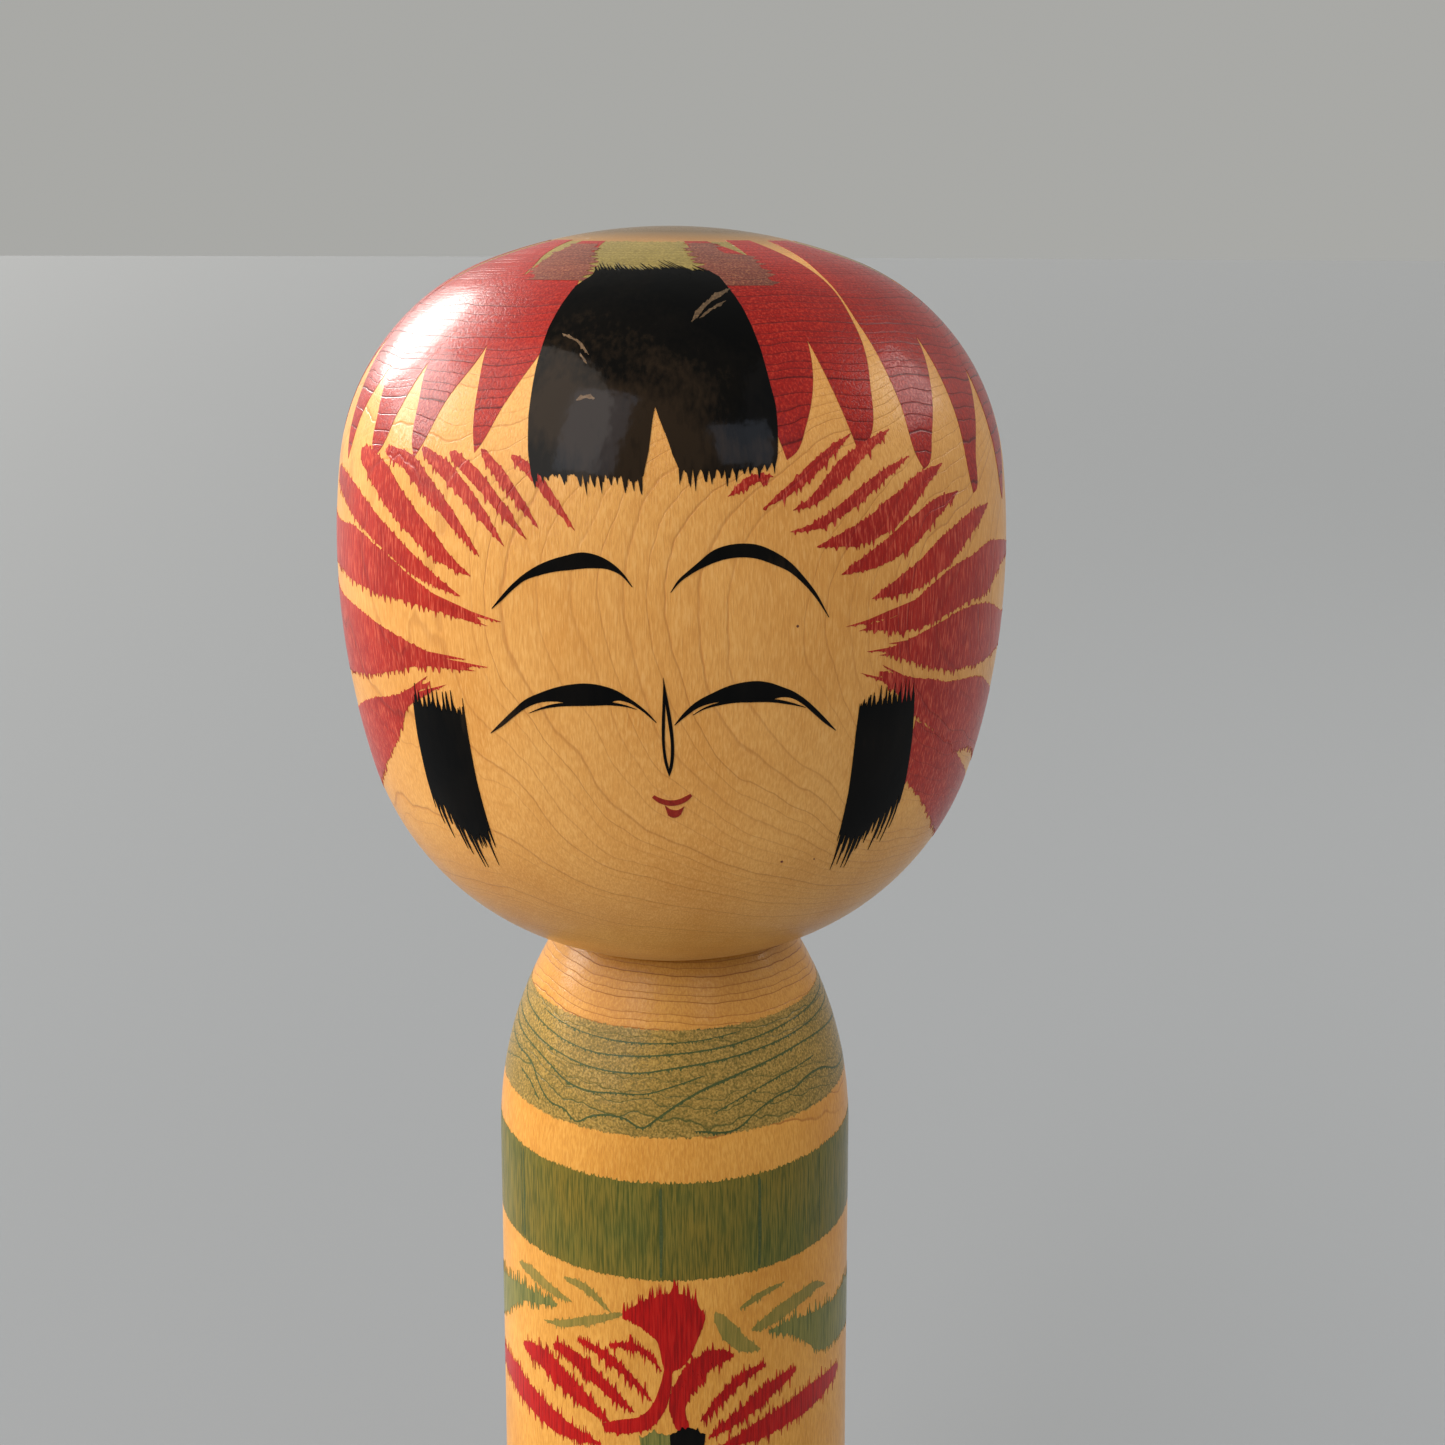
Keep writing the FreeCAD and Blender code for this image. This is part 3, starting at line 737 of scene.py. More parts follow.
# the fan of red strokes on each temple: path from the outer end to the tip, then the width in mm
templeStrokes = {
    "left": [
        ([(-25, 55.7), (-21.5, 57.5), (-18, 60.5), (-14.4, 64)], 1.3),
        ([(-30.5, 55.2), (-26, 58.5), (-22.5, 61.5), (-20, 64)], 1.3),
        ([(-36.5, 55.8), (-31, 58.5), (-26, 62), (-21.9, 65.3)], 1.7),
        ([(-42.7, 55.7), (-36, 58.5), (-30, 62.5), (-25.6, 66.3)], 2.0),
        ([(-52.3, 56.5), (-46, 57.5), (-40, 60.5), (-34, 64.5), (-29.9, 67.7)], 2.3),
        ([(-61.3, 57.2), (-55, 59), (-47, 63), (-40, 66.5), (-35, 69), (-31.5, 70.2)], 4.0),
        ([(-76, 61), (-66, 62.8), (-58, 65), (-50, 67.5), (-43, 70), (-33.5, 72.8)], 3.9),
    ],
    "right": [
        ([(14.9, 57.8), (12.2, 58), (8, 60)], 1.0),
        ([(28.6, 53.2), (24, 55.5), (19, 58.5), (13.2, 61.5)], 1.4),
        ([(36.3, 53), (31, 55), (25.5, 57.8), (20.5, 61), (17.8, 61.8)], 1.9),
        ([(39.5, 56.4), (33, 58.7), (27, 61.5), (21, 63.8), (17.3, 64.3)], 1.5),
        ([(47.2, 57.8), (42, 59.5), (36, 62.5), (30, 64.8), (21.5, 66.2)], 3.4),
        ([(51, 61.5), (45, 63), (39, 65.5), (33, 67.7), (25.5, 69.7)], 3.3),
        ([(62, 64), (54, 66), (47, 68.5), (40, 71), (31, 73)], 4.0),
    ],
    # broad strokes by the ear, each with its upper and its lower edge
    "leftBroad": [
        ([(-99, 69.2), (-97, 67.2), (-93, 66.2), (-84, 66.6), (-70, 67.2), (-62, 67), (-54, 68.5),
          (-48, 70), (-44.5, 71.2), (-38, 73.3), (-29.8, 75.5)],
         [(-99, 69.4), (-97, 71.2), (-94, 72), (-84, 73), (-70, 73.3), (-64, 74), (-58, 74.2),
          (-50, 74.4), (-45, 74.5), (-38, 75), (-29.8, 75.6)]),
        ([(-101, 80.8), (-98.5, 77.2), (-94, 75.6), (-84, 76.2), (-71, 77), (-62, 77.5), (-52, 78.8),
          (-44, 80), (-38, 80.9), (-32.5, 81.3)],
         [(-101, 81.2), (-99, 84.6), (-96, 86), (-84, 88), (-71, 87.3), (-60, 86), (-50, 84), (-44, 82.7),
          (-38, 82), (-32.5, 81.4)]),
        ([(-103, 102.4), (-100.5, 98), (-96, 96), (-86, 94.5), (-74, 93.3), (-66, 91), (-58, 89),
          (-50, 87.3), (-46, 85.8), (-41, 84.4)],
         [(-103, 103), (-101, 107.6), (-97, 109.5), (-86, 107.5), (-74, 104.4), (-70, 103), (-64, 100.3),
          (-58, 97), (-54, 94.5), (-50, 91), (-46.5, 87.2), (-41, 84.6)]),
    ],
    "rightBroad": [
        ([(100, 73.4), (98, 72.6), (94, 72.2), (86, 71.8), (80, 71.2), (68, 69.5), (62, 69), (55, 70),
          (50, 70.6), (43, 72.6), (36, 75.5), (30, 76.2)],
         [(100, 73.6), (98, 74.4), (94, 74.5), (86, 73), (79, 72), (68, 73), (62.5, 75), (53, 75.8),
          (48, 76.5), (43, 77.3), (38, 77.5), (30, 76.6)]),
        ([(101, 83.3), (98.5, 82), (94, 81.5), (84, 81), (74, 80), (68, 78.5), (63, 77.3), (58, 76.7),
          (53, 76.6), (46, 77.5), (41, 78.4), (34, 79.6)],
         [(101, 83.7), (99, 85), (95, 85.5), (84, 85), (74, 84.5), (63, 84.9), (56, 84.5), (50, 84),
          (45, 83), (40, 81.7), (34, 79.9)]),
        ([(103, 100), (101, 98), (97, 97), (88, 95), (79.5, 92.5), (71, 89.8), (63, 87.3), (56, 86.3),
          (50, 85.8), (45, 84.8), (40, 83.8), (33, 82.2)],
         [(103, 100.4), (101, 102.5), (96, 103), (88, 102.3), (76, 101), (70, 98.8), (63, 97),
          (57.3, 96.4), (54, 94.5), (48, 92), (42, 89), (33, 82.5)]),
        ([(103, 110.6), (100.5, 107), (96, 106), (86, 105.4), (75, 104.8), (70, 102.5), (63, 99.5),
          (57.4, 96.5), (54, 94), (50, 93), (46, 91.5), (42.2, 89.8)],
         [(103, 111), (101, 114.5), (97, 115.5), (88, 115), (78, 114), (70.5, 112.5), (66, 111),
          (60, 108.5), (54, 105.3), (48, 101.5), (42.5, 97.5), (41.8, 93)]),
    ],
}
# the left strokes start blunt and run to a point, the right ones are pointed at both ends
templeTapers = {"left": [(0, 0.12), (0.05, 0.6), (0.3, 1.0), (0.75, 0.62), (1, 0.03)],
                "right": [(0, 0.03), (0.2, 0.6), (0.5, 1.0), (0.8, 0.62), (1, 0.03)]}
# the drying brush splits each broad stroke's tip into thin points: mm to the side, and degrees past the tip
splitTips = {"width": 0.7, "points": [(-0.75, -0.5), (-0.15, 3.6), (0.55, 1.2)]}


def tipFilms(upper, lower, seed):
    # each point starts between the edges, well inside the stroke, and runs towards the face
    tip, root = np.array(upper[-1], float), (np.array(upper[-4], float) + np.array(lower[-4], float)) / 2
    inward = np.array([-np.sign(tip[0]), 0.0])
    films = []
    for j, (spread, reach) in enumerate(splitTips["points"]):
        aside = np.array([0.0, spread])
        path = [root + 0.4 * aside, (root + tip) / 2 + 0.8 * aside, tip + reach * inward + aside]
        films.append(strokeFilm(onHead, path, splitTips["width"], 0.03 + 0.004 * j, templeTapers["right"],
                                across=3, creepDown=0.35, seed=seed + j, spacing=0.25, step=0.12))
    return films


for side, taper in templeTapers.items():
    films = []
    for i, (path, width) in enumerate(templeStrokes[side]):
        films.append(strokeFilm(onHead, path, width, 0.03 + 0.008 * (i % 3), taper, creepDown=1.1,
                                creepUp=0.5, seed=40 + 7 * i, spacing=0.22, step=0.1))
    for i, (upper, lower) in enumerate(templeStrokes[side + "Broad"]):
        films.append(ruledFilm(onHead, upper, lower, 0.034 + 0.008 * (i % 3), across=10, step=0.12,
                               frayA=-0.3, frayB=1.1, seed=90 + 5 * i, spacing=0.26))
        films += tipFilms(upper, lower, 140 + 9 * i)
    paintPiece(side + "_temple_strokes", onHead, films, finishes["crimsonDyeOnTemples"])
print("temples painted")

# the black fringe and the side locks: each block's edges, its mesh, and its teeth in mm and degrees
hairLift = 0.075
fringe = {
    "left": [(-18.5, 25), (-20, 29), (-22.5, 31.6), (-23.4, 35.7), (-23.8, 39.2), (-23.6, 44.8),
             (-23, 51), (-22.2, 55.4), (-21.6, 57.2), (-20.3, 62)],
    "right": [(9.5, 25), (10.2, 28.5), (11.4, 29.2), (12.5, 31.6), (13.4, 33.4), (14.3, 35.7), (15, 38.6),
              (15.6, 42.2), (16, 46.6), (16.4, 49.5), (16.2, 52.5), (15.8, 55.4), (15.2, 57), (14.6, 62)],
    "top": [(-24, 28.3), (-10, 28.0), (5, 27.9), (17, 28.4)],
    "bottom": [(-24, 57.4), (-20, 57.6), (-12, 57.3), (-6.2, 57.6), (-5.2, 57.6), (-4.4, 54.6),
               (-3.9, 51.6), (-3.4, 49.4), (-2.8, 50.8), (-1.6, 53.2), (-0.7, 55.2), (0.2, 56.6),
               (6, 56.8), (12, 56.4), (17, 56.0)],
    "columns": 300, "rows": 44, "topLength": 3.6, "bottomLength": 2.9, "seed": 11, "tooth": 1.25,
    "raggedness": 0.8, "lean": 1.6, "calm": (-5.4, 0.4),
}
paintPiece("fringe", onHead, [hairFilm(onHead, **fringe)], sumiInk)

sideLocks = {
    "left": {"left": [(-45.6, 82), (-45.8, 87), (-46.2, 92), (-46.2, 98), (-45.8, 103), (-43.5, 112)],
             "right": [(-34.6, 82), (-34.2, 87), (-34, 92), (-33.8, 97), (-33.2, 103), (-32.4, 112)],
             "top": [(-47, 88.2), (-33, 88)],
             "bottom": [(-47, 99), (-43, 101.6), (-38, 104.4), (-33, 103)], "seed": 31},
    "right": {"left": [(30.2, 82), (29.8, 84), (29.5, 90), (29.7, 98), (29.4, 104), (29, 112)],
              "right": [(40.6, 82), (41, 86), (42, 92), (42.5, 98), (42.2, 103), (40, 112)],
              "top": [(29, 86.8), (42, 87.2)],
              "bottom": [(29, 103), (34, 104.4), (38, 102.4), (43, 98)], "seed": 47},
}
lockTeeth = {"columns": 220, "rows": 36, "topLength": 3.9, "bottomLength": 8.2, "tooth": 1.15,
             "raggedness": 0.3}
for side, lock in sideLocks.items():
    paintPiece(side + "_side_lock", onHead, [hairFilm(onHead, **lock, **lockTeeth)], sumiInk)
print("hair painted")

# brows, eyes and nose in ink, each with its upper and its lower edge
faceMarks = {
    "left_brow": [([(-27.7, 73.8), (-26.2, 72.4), (-24.3, 70.8), (-22.4, 69.5), (-20.1, 68.3), (-16, 67),
                    (-13.1, 66.5), (-10, 67.1), (-8.4, 67.9), (-7, 69), (-5.9, 70.3)],
                   [(-27.7, 73.9), (-25.9, 72.7), (-24, 71.3), (-22, 70.1), (-19.7, 69.4), (-17.4, 68.9),
                    (-15, 68.6), (-12, 68.3), (-9.3, 68.4), (-7.8, 68.9), (-5.9, 70.4)])],
    "right_brow": [([(-0.4, 70.9), (0.7, 69.5), (2.2, 68.4), (3.4, 67.6), (5.8, 66.1), (9.6, 65.4),
                     (12.2, 65.6), (14.6, 66.4), (16.4, 67.3), (17.6, 68.1), (19.2, 69.5), (21.1, 71.4),
                     (23.4, 74.6)],
                    [(-0.4, 71), (0.9, 69.8), (2.8, 68.7), (4.5, 68), (6.4, 67.4), (9.3, 67), (12, 67.2),
                     (14.7, 68), (16.8, 68.8), (19.2, 70.4), (21.1, 72.1), (23.4, 74.7)])],
    "left_eye": [([(-29.5, 89.6), (-27.4, 88), (-25.1, 86.3), (-22.8, 84.7), (-20.1, 83.6),
                   (-17.4, 82.75), (-15.1, 82.3), (-12.8, 82.1), (-10.5, 82.3), (-8.5, 82.8), (-7, 83.5),
                   (-5.1, 84.6), (-3.5, 85.8), (-2.6, 86.7)],
                  [(-29.5, 89.7), (-27.2, 88.5), (-25, 87.1), (-22.8, 85.8), (-20.8, 85.0), (-17.8, 84.6),
                   (-15.5, 84.75), (-12, 84.7), (-9.6, 84.5), (-8.7, 84.1), (-7, 84.2), (-5, 85.1),
                   (-3.4, 86.2), (-2.6, 86.8)])],
    "right_eye": [([(0.1, 87), (1.5, 85.5), (3.4, 84.1), (5.7, 83.1), (8, 82.3), (10.3, 81.9),
                    (12.6, 81.85), (14.2, 82.1), (16.1, 82.7), (18, 83.4), (19.5, 84.2), (21.8, 85.8),
                    (23.8, 87.4), (25.7, 89)],
                   [(0.1, 87.1), (1.7, 86), (3.6, 84.9), (5.9, 84.3), (8.8, 84.3), (11.8, 84.3),
                    (14.6, 84.3), (15.9, 84.05), (17.8, 84.25), (19.6, 85.1), (21.6, 86.5), (23.6, 87.9),
                    (25.7, 89.1)])],
}
lowerLids = {
    "left_eye": [(-22.4, 86.4), (-20.1, 85.6), (-18, 85.1), (-15.5, 84.8), (-12, 84.6), (-9, 84.5),
                 (-7.2, 84.7), (-5.5, 85.1)],
    "right_eye": [(2.8, 85.8), (4.5, 85), (6.5, 84.5), (8.8, 84.2), (11.8, 84.2), (14.9, 84.4),
                  (17.6, 84.9), (20.2, 85.6)],
}
inkLift = 0.07
lidTaper = [(0, 0.08), (0.25, 0.75), (0.5, 1.0), (0.8, 0.75), (1, 0.08)]
for name, marks in faceMarks.items():
    films = [ruledFilm(onHead, upper, lower, inkLift, across=8, step=0.2) for upper, lower in marks]
    if name in lowerLids:
        films.append(strokeFilm(onHead, lowerLids[name], 0.5, inkLift + 0.01, lidTaper, step=0.2))
    paintPiece(name, onHead, films, sumiInk)

noseHalves = [
    ([(-1.5, 81.1), (-1.62, 83.6), (-1.8, 86.75), (-1.75, 89.9), (-1.45, 91.9), (-0.75, 93.8)],
     [(-1.48, 81.2), (-1.25, 83.6), (-1.32, 86.75), (-1.32, 89.9), (-1.1, 91.4), (-0.75, 92.8)]),
    ([(-1.52, 81.1), (-0.8, 84.25), (-0.3, 86.75), (0, 89.25), (0, 91.1), (-0.3, 92.8), (-0.75, 93.8)],
     [(-1.54, 81.2), (-1.25, 84.25), (-0.85, 86.75), (-0.5, 89.25), (-0.5, 91.1), (-0.62, 92),
      (-0.75, 92.8)]),
]
paintPiece("nose", onHead, [ruledFilm(onHead, outer, inner, inkLift, across=4, step=0.2)
                            for outer, inner in noseHalves], sumiInk)

mouth = {
    "upper": [(-3.3, 96.5), (-2.4, 97.0), (-0.1, 97.4), (1.5, 97.0), (2.7, 96.3)], "upperWidth": 0.75,
    "lower": ([(-1.5, 97.7), (-0.5, 98.3), (0.5, 98.4), (1.6, 97.9)],
              [(-1.0, 99.1), (-0.4, 99.4), (0.4, 99.4), (1.1, 99)]),
}
lipTaper = [(0, 0.55), (0.2, 0.9), (0.5, 1.0), (0.85, 0.85), (1, 0.5)]
upperLip = strokeFilm(onHead, mouth["upper"], mouth["upperWidth"], inkLift, lipTaper, step=0.2)
lowerLip = ruledFilm(onHead, *mouth["lower"], inkLift, step=0.2)
paintPiece("mouth", onHead, [upperLip, lowerLip], finishes["crimsonDyeOnLips"])

# wear: rubbed hairlines in the fringe, and three dark pin specks in the maple
wear = {
    "hairlines": [
        ([(3.6, 38.0), (6, 35.6), (8.5, 34), (13, 32.0)], 0.8),
        ([(5.2, 37.4), (8, 35.8), (11.2, 34.4)], 0.4),
        ([(-20.6, 40), (-17, 41.2), (-14.5, 43.0)], 0.35), ([(-16.2, 42.8), (-14.6, 44.2)], 0.3),
        ([(-15.4, 48.9), (-13.6, 48.4), (-12.4, 48.6)], 0.5),
    ],
    "specks": [
        ([(18.2, 75.4), (18.6, 75.5)], 0.34), ([(18.8, 107), (19.3, 107.2)], 0.34),
        ([(25.3, 107.5), (25.6, 107.4)], 0.25),
    ],
}
hairlineTaper = [(0, 0.1), (0.2, 0.8), (0.5, 0.5), (0.7, 1.0), (1, 0.1)]
roundTaper = [(0, 0.2), (0.3, 1.0), (0.7, 1.0), (1, 0.2)]
wearFilms = [strokeFilm(onHead, path, width, hairLift + 0.02, hairlineTaper, creepUp=0.3, creepDown=0.3,
                        seed=300 + i) for i, (path, width) in enumerate(wear["hairlines"])]
paintPiece("fringe_wear", onHead, wearFilms, finishes["rubbedInkOnMaple"])
speckFilms = [strokeFilm(onHead, path, width, 0.03, roundTaper, step=0.05) for path, width in wear["specks"]]
paintPiece("pin_specks", onHead, speckFilms, finishes["oliveOverCrimsonOnCrown"])
print("face painted")

# the two green bands under the shoulder and the bands near the foot
bodyBands = {
    "lift": 0.02,
    "shoulder": {"low": 181.3, "high": 195.2, "creepLow": 0.45, "creepHigh": 0.3, "columns": 1500, "rows": 14,
                 "spacing": 0.32},
    "wall": {"low": 159.7, "high": 174.4, "creepLow": 0.5, "creepHigh": 0.6, "columns": 2000, "rows": 12,
             "seed": 8, "spacing": 0.3},
    "foot": {"low": 17.0, "high": 30.0, "creepLow": 0.6, "creepHigh": 0.5, "columns": 2000, "rows": 4,
             "seed": 12, "spacing": 0.3},
    "footLine": {"low": 9.5, "high": 12.5, "creepLow": 0.4, "creepHigh": 0.4, "columns": 2000, "rows": 3,
                 "seed": 16, "spacing": 0.3},
}


def bandFilm(name):
    return ringFilm(onBody, lift=bodyBands["lift"], **bodyBands[name])


paintPiece("shoulder_band", onBody, [bandFilm("shoulder")], finishes["oliveDyeOnShoulder"])
paintPiece("wall_bands", onBody, [bandFilm(name) for name in ("wall", "foot", "footLine")],
           finishes["greenDyeOnWall"])

# growth lines that took the dye more deeply: wavy and nearly level in the shoulder band, each a path and a
# width, and upright in the wall band, each a turn and a width
grainLines = {
    "lift": 0.034,
    "shoulder": [
        ([(-88, 188), (-70, 187.2), (-57, 186.6), (-50, 184.3), (-45, 183.1), (-38, 182.8), (-33, 181.7),
          (-28, 182.9), (-22, 183.6), (-16, 183.4), (-10.5, 182.4), (-5, 184), (0, 185.5), (8, 187.3),
          (20, 188.8), (35, 189.8), (50, 190.3), (66, 190), (90, 188.6)], 0.3),
        ([(6, 182.0), (20, 181.7), (27, 183.5), (35, 184.7), (43, 184.9), (50, 185.6), (60, 185.3),
          (68, 183.8), (90, 182.6)], 0.3),
        ([(-90, 190), (-72, 189.4), (-58, 188.9), (-48, 188), (-38, 186.6), (-30, 186.3), (-20, 186.7),
          (-10, 187), (0, 188.2), (10, 189.4)], 0.22),
        ([(-90, 191.4), (-60, 190.6), (-45, 190), (-30, 189.5), (-12, 189.7), (0, 190.5), (15, 191.1),
          (30, 191.6), (60, 192.2), (90, 192.2)], 0.22),
        ([(-90, 193.7), (-60, 192.6), (-45, 191.9), (-30, 191.5), (-15, 191.8), (0, 192.3), (15, 192.7),
          (45, 193.6), (90, 194.2)], 0.19),
        ([(-60, 194.3), (-40, 193.7), (-20, 193.5), (5, 193.8), (25, 194.4)], 0.14),
        ([(-64, 185), (-56, 184.2), (-50, 182.6)], 0.22),
        ([(12, 184.2), (22, 185.8), (36, 187.2), (56, 187.8)], 0.17),
    ],
    "wall": [(-4.5, 0.55), (26.5, 0.6), (-56, 0.45), (-57.6, 0.3), (52, 0.2), (96, 0.7), (128, 0.4),
             (171, 0.8), (-100, 0.5), (-134, 0.7)],
}
evenTaper = [(0, 0.1), (0.04, 0.8), (0.3, 0.6), (0.55, 1.0), (0.8, 0.6), (0.96, 0.8), (1, 0.1)]
lineFilms = []
for i, (path, width) in enumerate(grainLines["shoulder"]):
    for half, mirror in ((0, 1), (180, -1)):
        turned = [(turn * mirror + half, height) for turn, height in path]
        lineFilms.append(strokeFilm(onBody, turned, width, grainLines["lift"], evenTaper, across=2, step=0.12,
                                    creepUp=0.08, creepDown=0.4, seed=400 + 2 * i + half, spacing=0.35))
low, high = bodyBands["wall"]["low"], bodyBands["wall"]["high"]
for turn, width in grainLines["wall"]:
    path = [(turn, high - 0.4), (turn + 0.15, (low + high) / 2), (turn, low + 0.2)]
    lineFilms.append(strokeFilm(onBody, path, width, grainLines["lift"], evenTaper, across=2, step=0.5))
paintPiece("dye_growth_lines", onBody, lineFilms, finishes["oliveDyeInGrowthLines"])

# one stem of the stacked chrysanthemum: heights are those of the top flower
flower = {
    "bud": ([(-16.5, 153.8), (-10, 156), (-5, 157), (-1, 157.5), (4, 156.9), (7, 155.2), (9, 153.6)],
            [(-16.5, 153.4), (-10, 151.7), (-6, 150), (-2.9, 145.2), (3.3, 146.6), (6, 149.3), (9, 153.2)]),
    "stemLeft": ([(-2.2, 146), (-3.2, 142.5), (-5.5, 139), (-9.5, 136.6), (-15, 135.6), (-23, 134.6)], 2.2),
    "left": [
        ([(-21, 148.3), (-14, 148.7), (-8, 147.5), (-4.4, 145)], 0.9),
        ([(-32, 147.8), (-24, 146.8), (-15, 144), (-7.5, 140.2)], 1.2),
        ([(-42, 145.2), (-33, 144.5), (-24, 141.8), (-13, 138)], 2.2),
        ([(-58, 141.5), (-47, 141.8), (-36, 139.8), (-21, 135.5)], 3.3),
        ([(-84, 133.0), (-70, 134.4), (-55, 133.6), (-40, 132.2), (-24, 131.6)], 4.4),
    ],
    "right": [
        ([(18, 146.6), (11, 146.7), (6, 145), (2, 142), (0.3, 139), (2, 136), (9, 133.4)], 3.1),
        ([(29, 143.8), (22, 142.9), (15, 140.5), (7.5, 136.7)], 1.5),
        ([(41, 140.7), (32, 139.6), (22, 137), (10, 133.8)], 2.2),
        ([(67, 134.6), (50, 134.5), (38, 134), (25, 133), (12, 131.6)], 4.0),
    ],
    "thinLeaves": [
        ([(-37, 157), (-28, 156.3), (-20, 153.5)], 1.2),
        ([(-60, 154.7), (-50, 154.8), (-42, 154), (-34, 153.5)], 1.8),
        ([(-16.5, 153.7), (-30, 151), (-40, 149), (-46, 148.3)], 1.3),
        ([(12, 154), (16, 151), (20, 148.5), (27, 146.5)], 2.6),
        ([(20, 154), (27, 155.3), (36, 156)], 1.0),
        ([(24, 150), (40, 152), (50, 152.5), (56, 151.5)], 2.4),
    ],
    "deepLeaves": [
        ([(-93, 142.6), (-86, 146), (-70, 149.5), (-60, 151), (-40, 152.2)],
         [(-93, 142.2), (-86, 140.4), (-72, 143.5), (-60, 148.2), (-40, 151.9)]),
        ([(30, 149), (35, 149.2), (50, 148.2), (60, 147.3), (70, 147.4), (86, 145), (93, 142.4)],
         [(30, 148.8), (35, 148), (44, 145), (52, 141.5), (65, 140), (86, 139.7), (93, 142)]),
    ],
    "heartBlack": ([(-2, 134.6), (3, 135.4), (9, 134.4)], [(-1.4, 128.5), (3, 127), (8, 129)]),
    "heartGreen": ([(-11.5, 133.6), (-7, 134.8), (-1.6, 134.4)], [(-10, 129), (-6, 127.5), (-2, 128.6)]),
    "drops": [0.0, -42.0, -84.0],
}
flowerTaper = [(0, 0.1), (0.08, 0.55), (0.35, 1.0), (0.75, 0.7), (1, 0.06)]
stemTaper = [(0, 0.45), (0.2, 0.8), (0.5, 1.0), (0.8, 1.0), (1, 0.55)]
reds, leaves, shades, hearts = [], [], [], []


def lowered(points, drop):
    return [(turn, height + drop) for turn, height in points]


for level, drop in enumerate(flower["drops"]):
    seed = 200 + 60 * level
    top, bottom, stem, stemWidth = *flower["bud"], *flower["stemLeft"]
    reds.append(ruledFilm(onBody, lowered(top, drop), lowered(bottom, drop), 0.045, across=14, step=0.08,
                          frayA=2.6, frayB=-0.5, seed=seed, spacing=0.3))
    reds.append(strokeFilm(onBody, lowered(stem, drop), stemWidth, 0.05, stemTaper, creepUp=0.3,
                           creepDown=0.9, seed=seed + 3))
    for i, (path, width) in enumerate(flower["left"] + flower["right"]):
        reds.append(strokeFilm(onBody, lowered(path, drop), width, 0.03 + 0.008 * (i % 4), flowerTaper,
                               across=3, step=0.09, creepUp=1.9, creepDown=2.1, seed=seed + 5 * i,
                               spacing=0.26))
    for i, (path, width) in enumerate(flower["thinLeaves"]):
        leaves.append(strokeFilm(onBody, lowered(path, drop), width, 0.02 + 0.006 * (i % 3), flowerTaper,
                                 creepUp=0.7, creepDown=0.8, seed=seed + 30 + i))
    for i, (upper, lower) in enumerate(flower["deepLeaves"]):
        shades.append(ruledFilm(onBody, lowered(upper, drop), lowered(lower, drop), 0.036, across=10,
                                step=0.12, frayA=2.4, frayB=-1.4, seed=seed + 40 + i, spacing=0.35))
    green, black = ([lowered(edge, drop) for edge in flower[heart]] for heart in ("heartGreen", "heartBlack"))
    shades.append(ruledFilm(onBody, *green, 0.058, frayA=0.8, frayB=-0.8, seed=seed + 50))
    hearts.append(ruledFilm(onBody, *black, 0.066, frayA=1.0, frayB=-0.8, seed=seed + 52))
paintPiece("chrysanthemum", onBody, reds, finishes["crimsonDyeOnBodyMaple"])
paintPiece("thin_leaves", onBody, leaves, finishes["thinLeafDyeOnMaple"])
paintPiece("deep_leaves", onBody, shades, finishes["deepLeafDyeOnMaple"])
paintPiece("flower_hearts", onBody, hearts, sumiInk)
print("body painted")


# floor, light and camera

studio = {
    "floorRadius": 40.0, "floorColour": "#7B7E81", "airColour": "#CACAC6", "airStrength": 0.67,
    # far windows and broad soft skies: turn from the front, rise, strength, spread in degrees, hex
    "skies": {
        "leftWindowNear": (-140.0, 25.0, 2.9, 23.0, "#FFFCF6"),
        "leftWindowFar": (-107.0, 24.0, 2.2, 27.0, "#FFFCF6"),
        "leftSky": (-66.0, 26.0, 3.25, 74.0, "#FFF8F0"),
        "rightSky": (72.0, 24.0, 0.26, 80.0, "#EAF0FF"),
    },
    # each panel: turn and rise it comes from, distance, width and height in m, watts, hex
    "panels": {
        "frontLeftPanel": (-30.0, 36.0, 1.5, 0.5, 0.9, 3.6, "#DCE8FF"),
        "frontRightPanel": (25.0, 32.0, 1.5, 0.45, 0.45, 1.3, "#DCE8FF"),
        "rightPanel": (103.0, 32.0, 1.4, 0.56, 0.46, 5.0, "#FFFAF4"),
    },
    "aim": (0.0, 0.0, 0.21),  # the shoulder
}


def fromAngles(turn, rise):
    # unit direction with the turn measured from the front (-Y) towards +X
    turn, rise = math.radians(turn), math.radians(rise)
    return np.array([math.sin(turn) * math.cos(rise), -math.cos(turn) * math.cos(rise), math.sin(rise)])


def addLight(name, kind, turn, rise, distance, settings, colour):
    # a lamp that looks at the aim from the turn and rise, and that the camera doesn't see
    lamp = bpy.data.lights.new(name, kind)
    for key, value in settings.items():
        setattr(lamp, key, value)
    lamp.color = linear(colour)[:3]
    thing = bpy.data.objects.new(name, lamp)
    direction = fromAngles(turn, rise)
    thing.location = np.array(studio["aim"]) + distance * direction
    side = np.cross((0, 0, 1), direction)
    side = side / np.linalg.norm(side)
    facing = Matrix(np.stack([side, np.cross(direction, side), direction], 1).tolist())
    thing.rotation_mode = "QUATERNION"
    thing.rotation_quaternion = facing.to_quaternion()
    thing.visible_camera = False
    bpy.context.scene.collection.objects.link(thing)


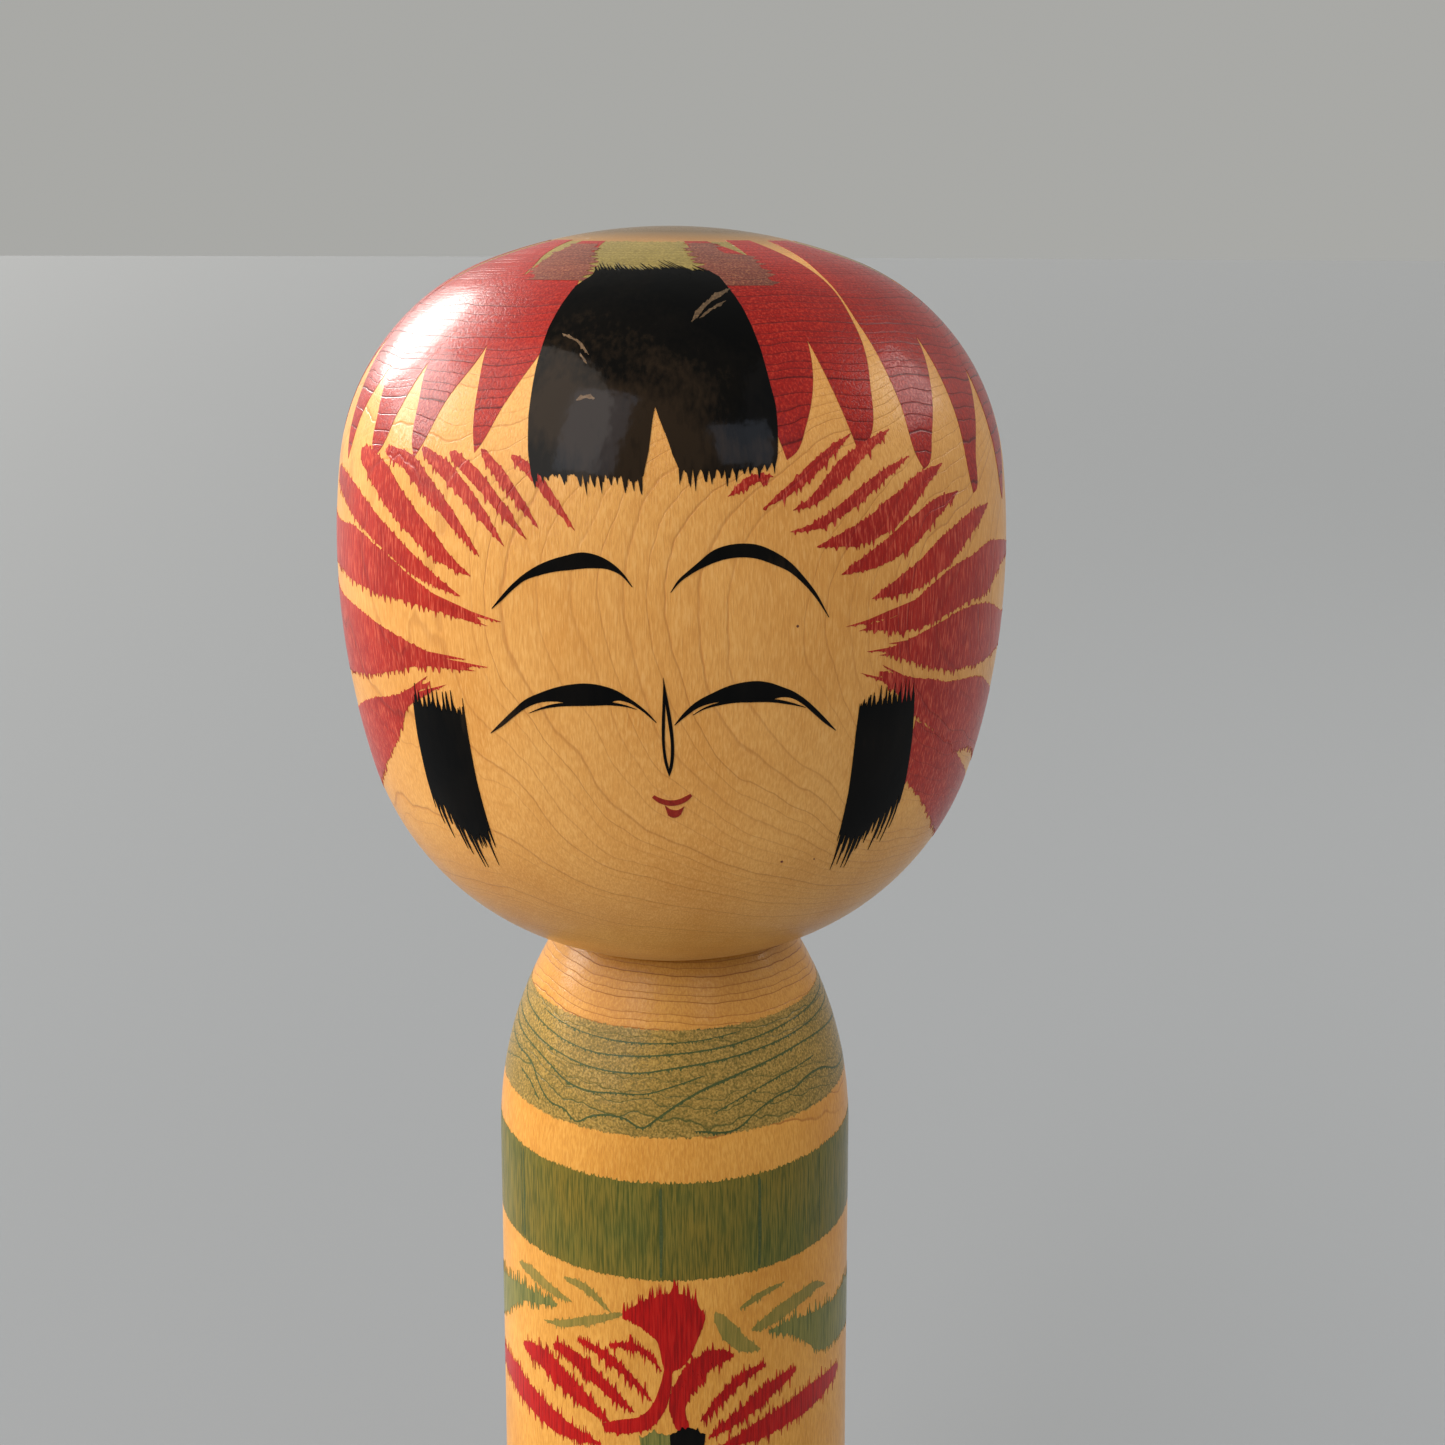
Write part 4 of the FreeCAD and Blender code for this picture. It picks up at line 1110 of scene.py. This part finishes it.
for name, (turn, rise, strength, spread, colour) in studio["skies"].items():
    addLight(name, "SUN", turn, rise, 1.5, {"energy": strength, "angle": math.radians(spread)}, colour)
for name, (turn, rise, distance, width, height, watts, colour) in studio["panels"].items():
    addLight(name, "AREA", turn, rise, distance,
             {"shape": "RECTANGLE", "size": width, "size_y": height, "energy": watts}, colour)

world = bpy.data.worlds.new("paleAir")
world.use_nodes = True
air = world.node_tree.nodes["Background"].inputs
air["Color"].default_value = linear(studio["airColour"])
air["Strength"].default_value = studio["airStrength"]
bpy.context.scene.world = world

# the floor: a flat disc, (radius sin turn, radius cos turn, 0), as matt as paper
rimCount = 96
rim = np.linspace(0, -2 * np.pi, rimCount, endpoint=False)
floorMesh = bpy.data.meshes.new("floor")
rimPoints = studio["floorRadius"] * np.stack([np.sin(rim), np.cos(rim), 0 * rim], -1)
floorMesh.from_pydata(rimPoints.tolist(), [], [list(range(rimCount))])
floorPaper, paperTree = emptyMaterial("mattPaleFloor")
paper = addNode(paperTree, "BsdfPrincipled", {"Base Color": linear(studio["floorColour"]), "Roughness": 0.9})
addNode(paperTree, "OutputMaterial", {"Surface": paper})
floorMesh.materials.append(floorPaper)
floor = bpy.data.objects.new("floor", floorMesh)
bpy.context.scene.collection.objects.link(floor)

# mm and degrees, and the lens in mm on a sensor 36 mm wide
view = {"distance": 260.16, "lookDown": 14.917, "turn": -1.602, "roll": 0.22, "aimHeight": 233.81,
        "lens": 44.844}


def placeCamera(v):
    # it looks down at the aim from the front, then is turned and rolled a little about itself
    down, turn, roll = (math.radians(v[name]) for name in ("lookDown", "turn", "roll"))
    ahead = np.array([-math.sin(turn) * math.cos(down), math.cos(turn) * math.cos(down), -math.sin(down)])
    right = np.cross(ahead, (0, 0, 1))
    right = right / np.linalg.norm(right)
    up = np.cross(right, ahead)
    right, up = math.cos(roll) * right + math.sin(roll) * up, math.cos(roll) * up - math.sin(roll) * right
    data = bpy.data.cameras.new("camera")
    data.lens, data.sensor_width = v["lens"], 36.0
    data.clip_start, data.clip_end = 0.01, 50.0
    camera = bpy.data.objects.new("camera", data)
    camera.rotation_mode = "QUATERNION"
    camera.rotation_quaternion = Matrix(np.stack([right, up, -ahead], 1).tolist()).to_quaternion()
    camera.location = 0.001 * np.array([0, -v["distance"] * math.cos(down),
                                        v["aimHeight"] + v["distance"] * math.sin(down)])
    bpy.context.scene.collection.objects.link(camera)
    bpy.context.scene.camera = camera


placeCamera(view)
bpy.context.scene.view_settings.view_transform = "Standard"
print("studio set")
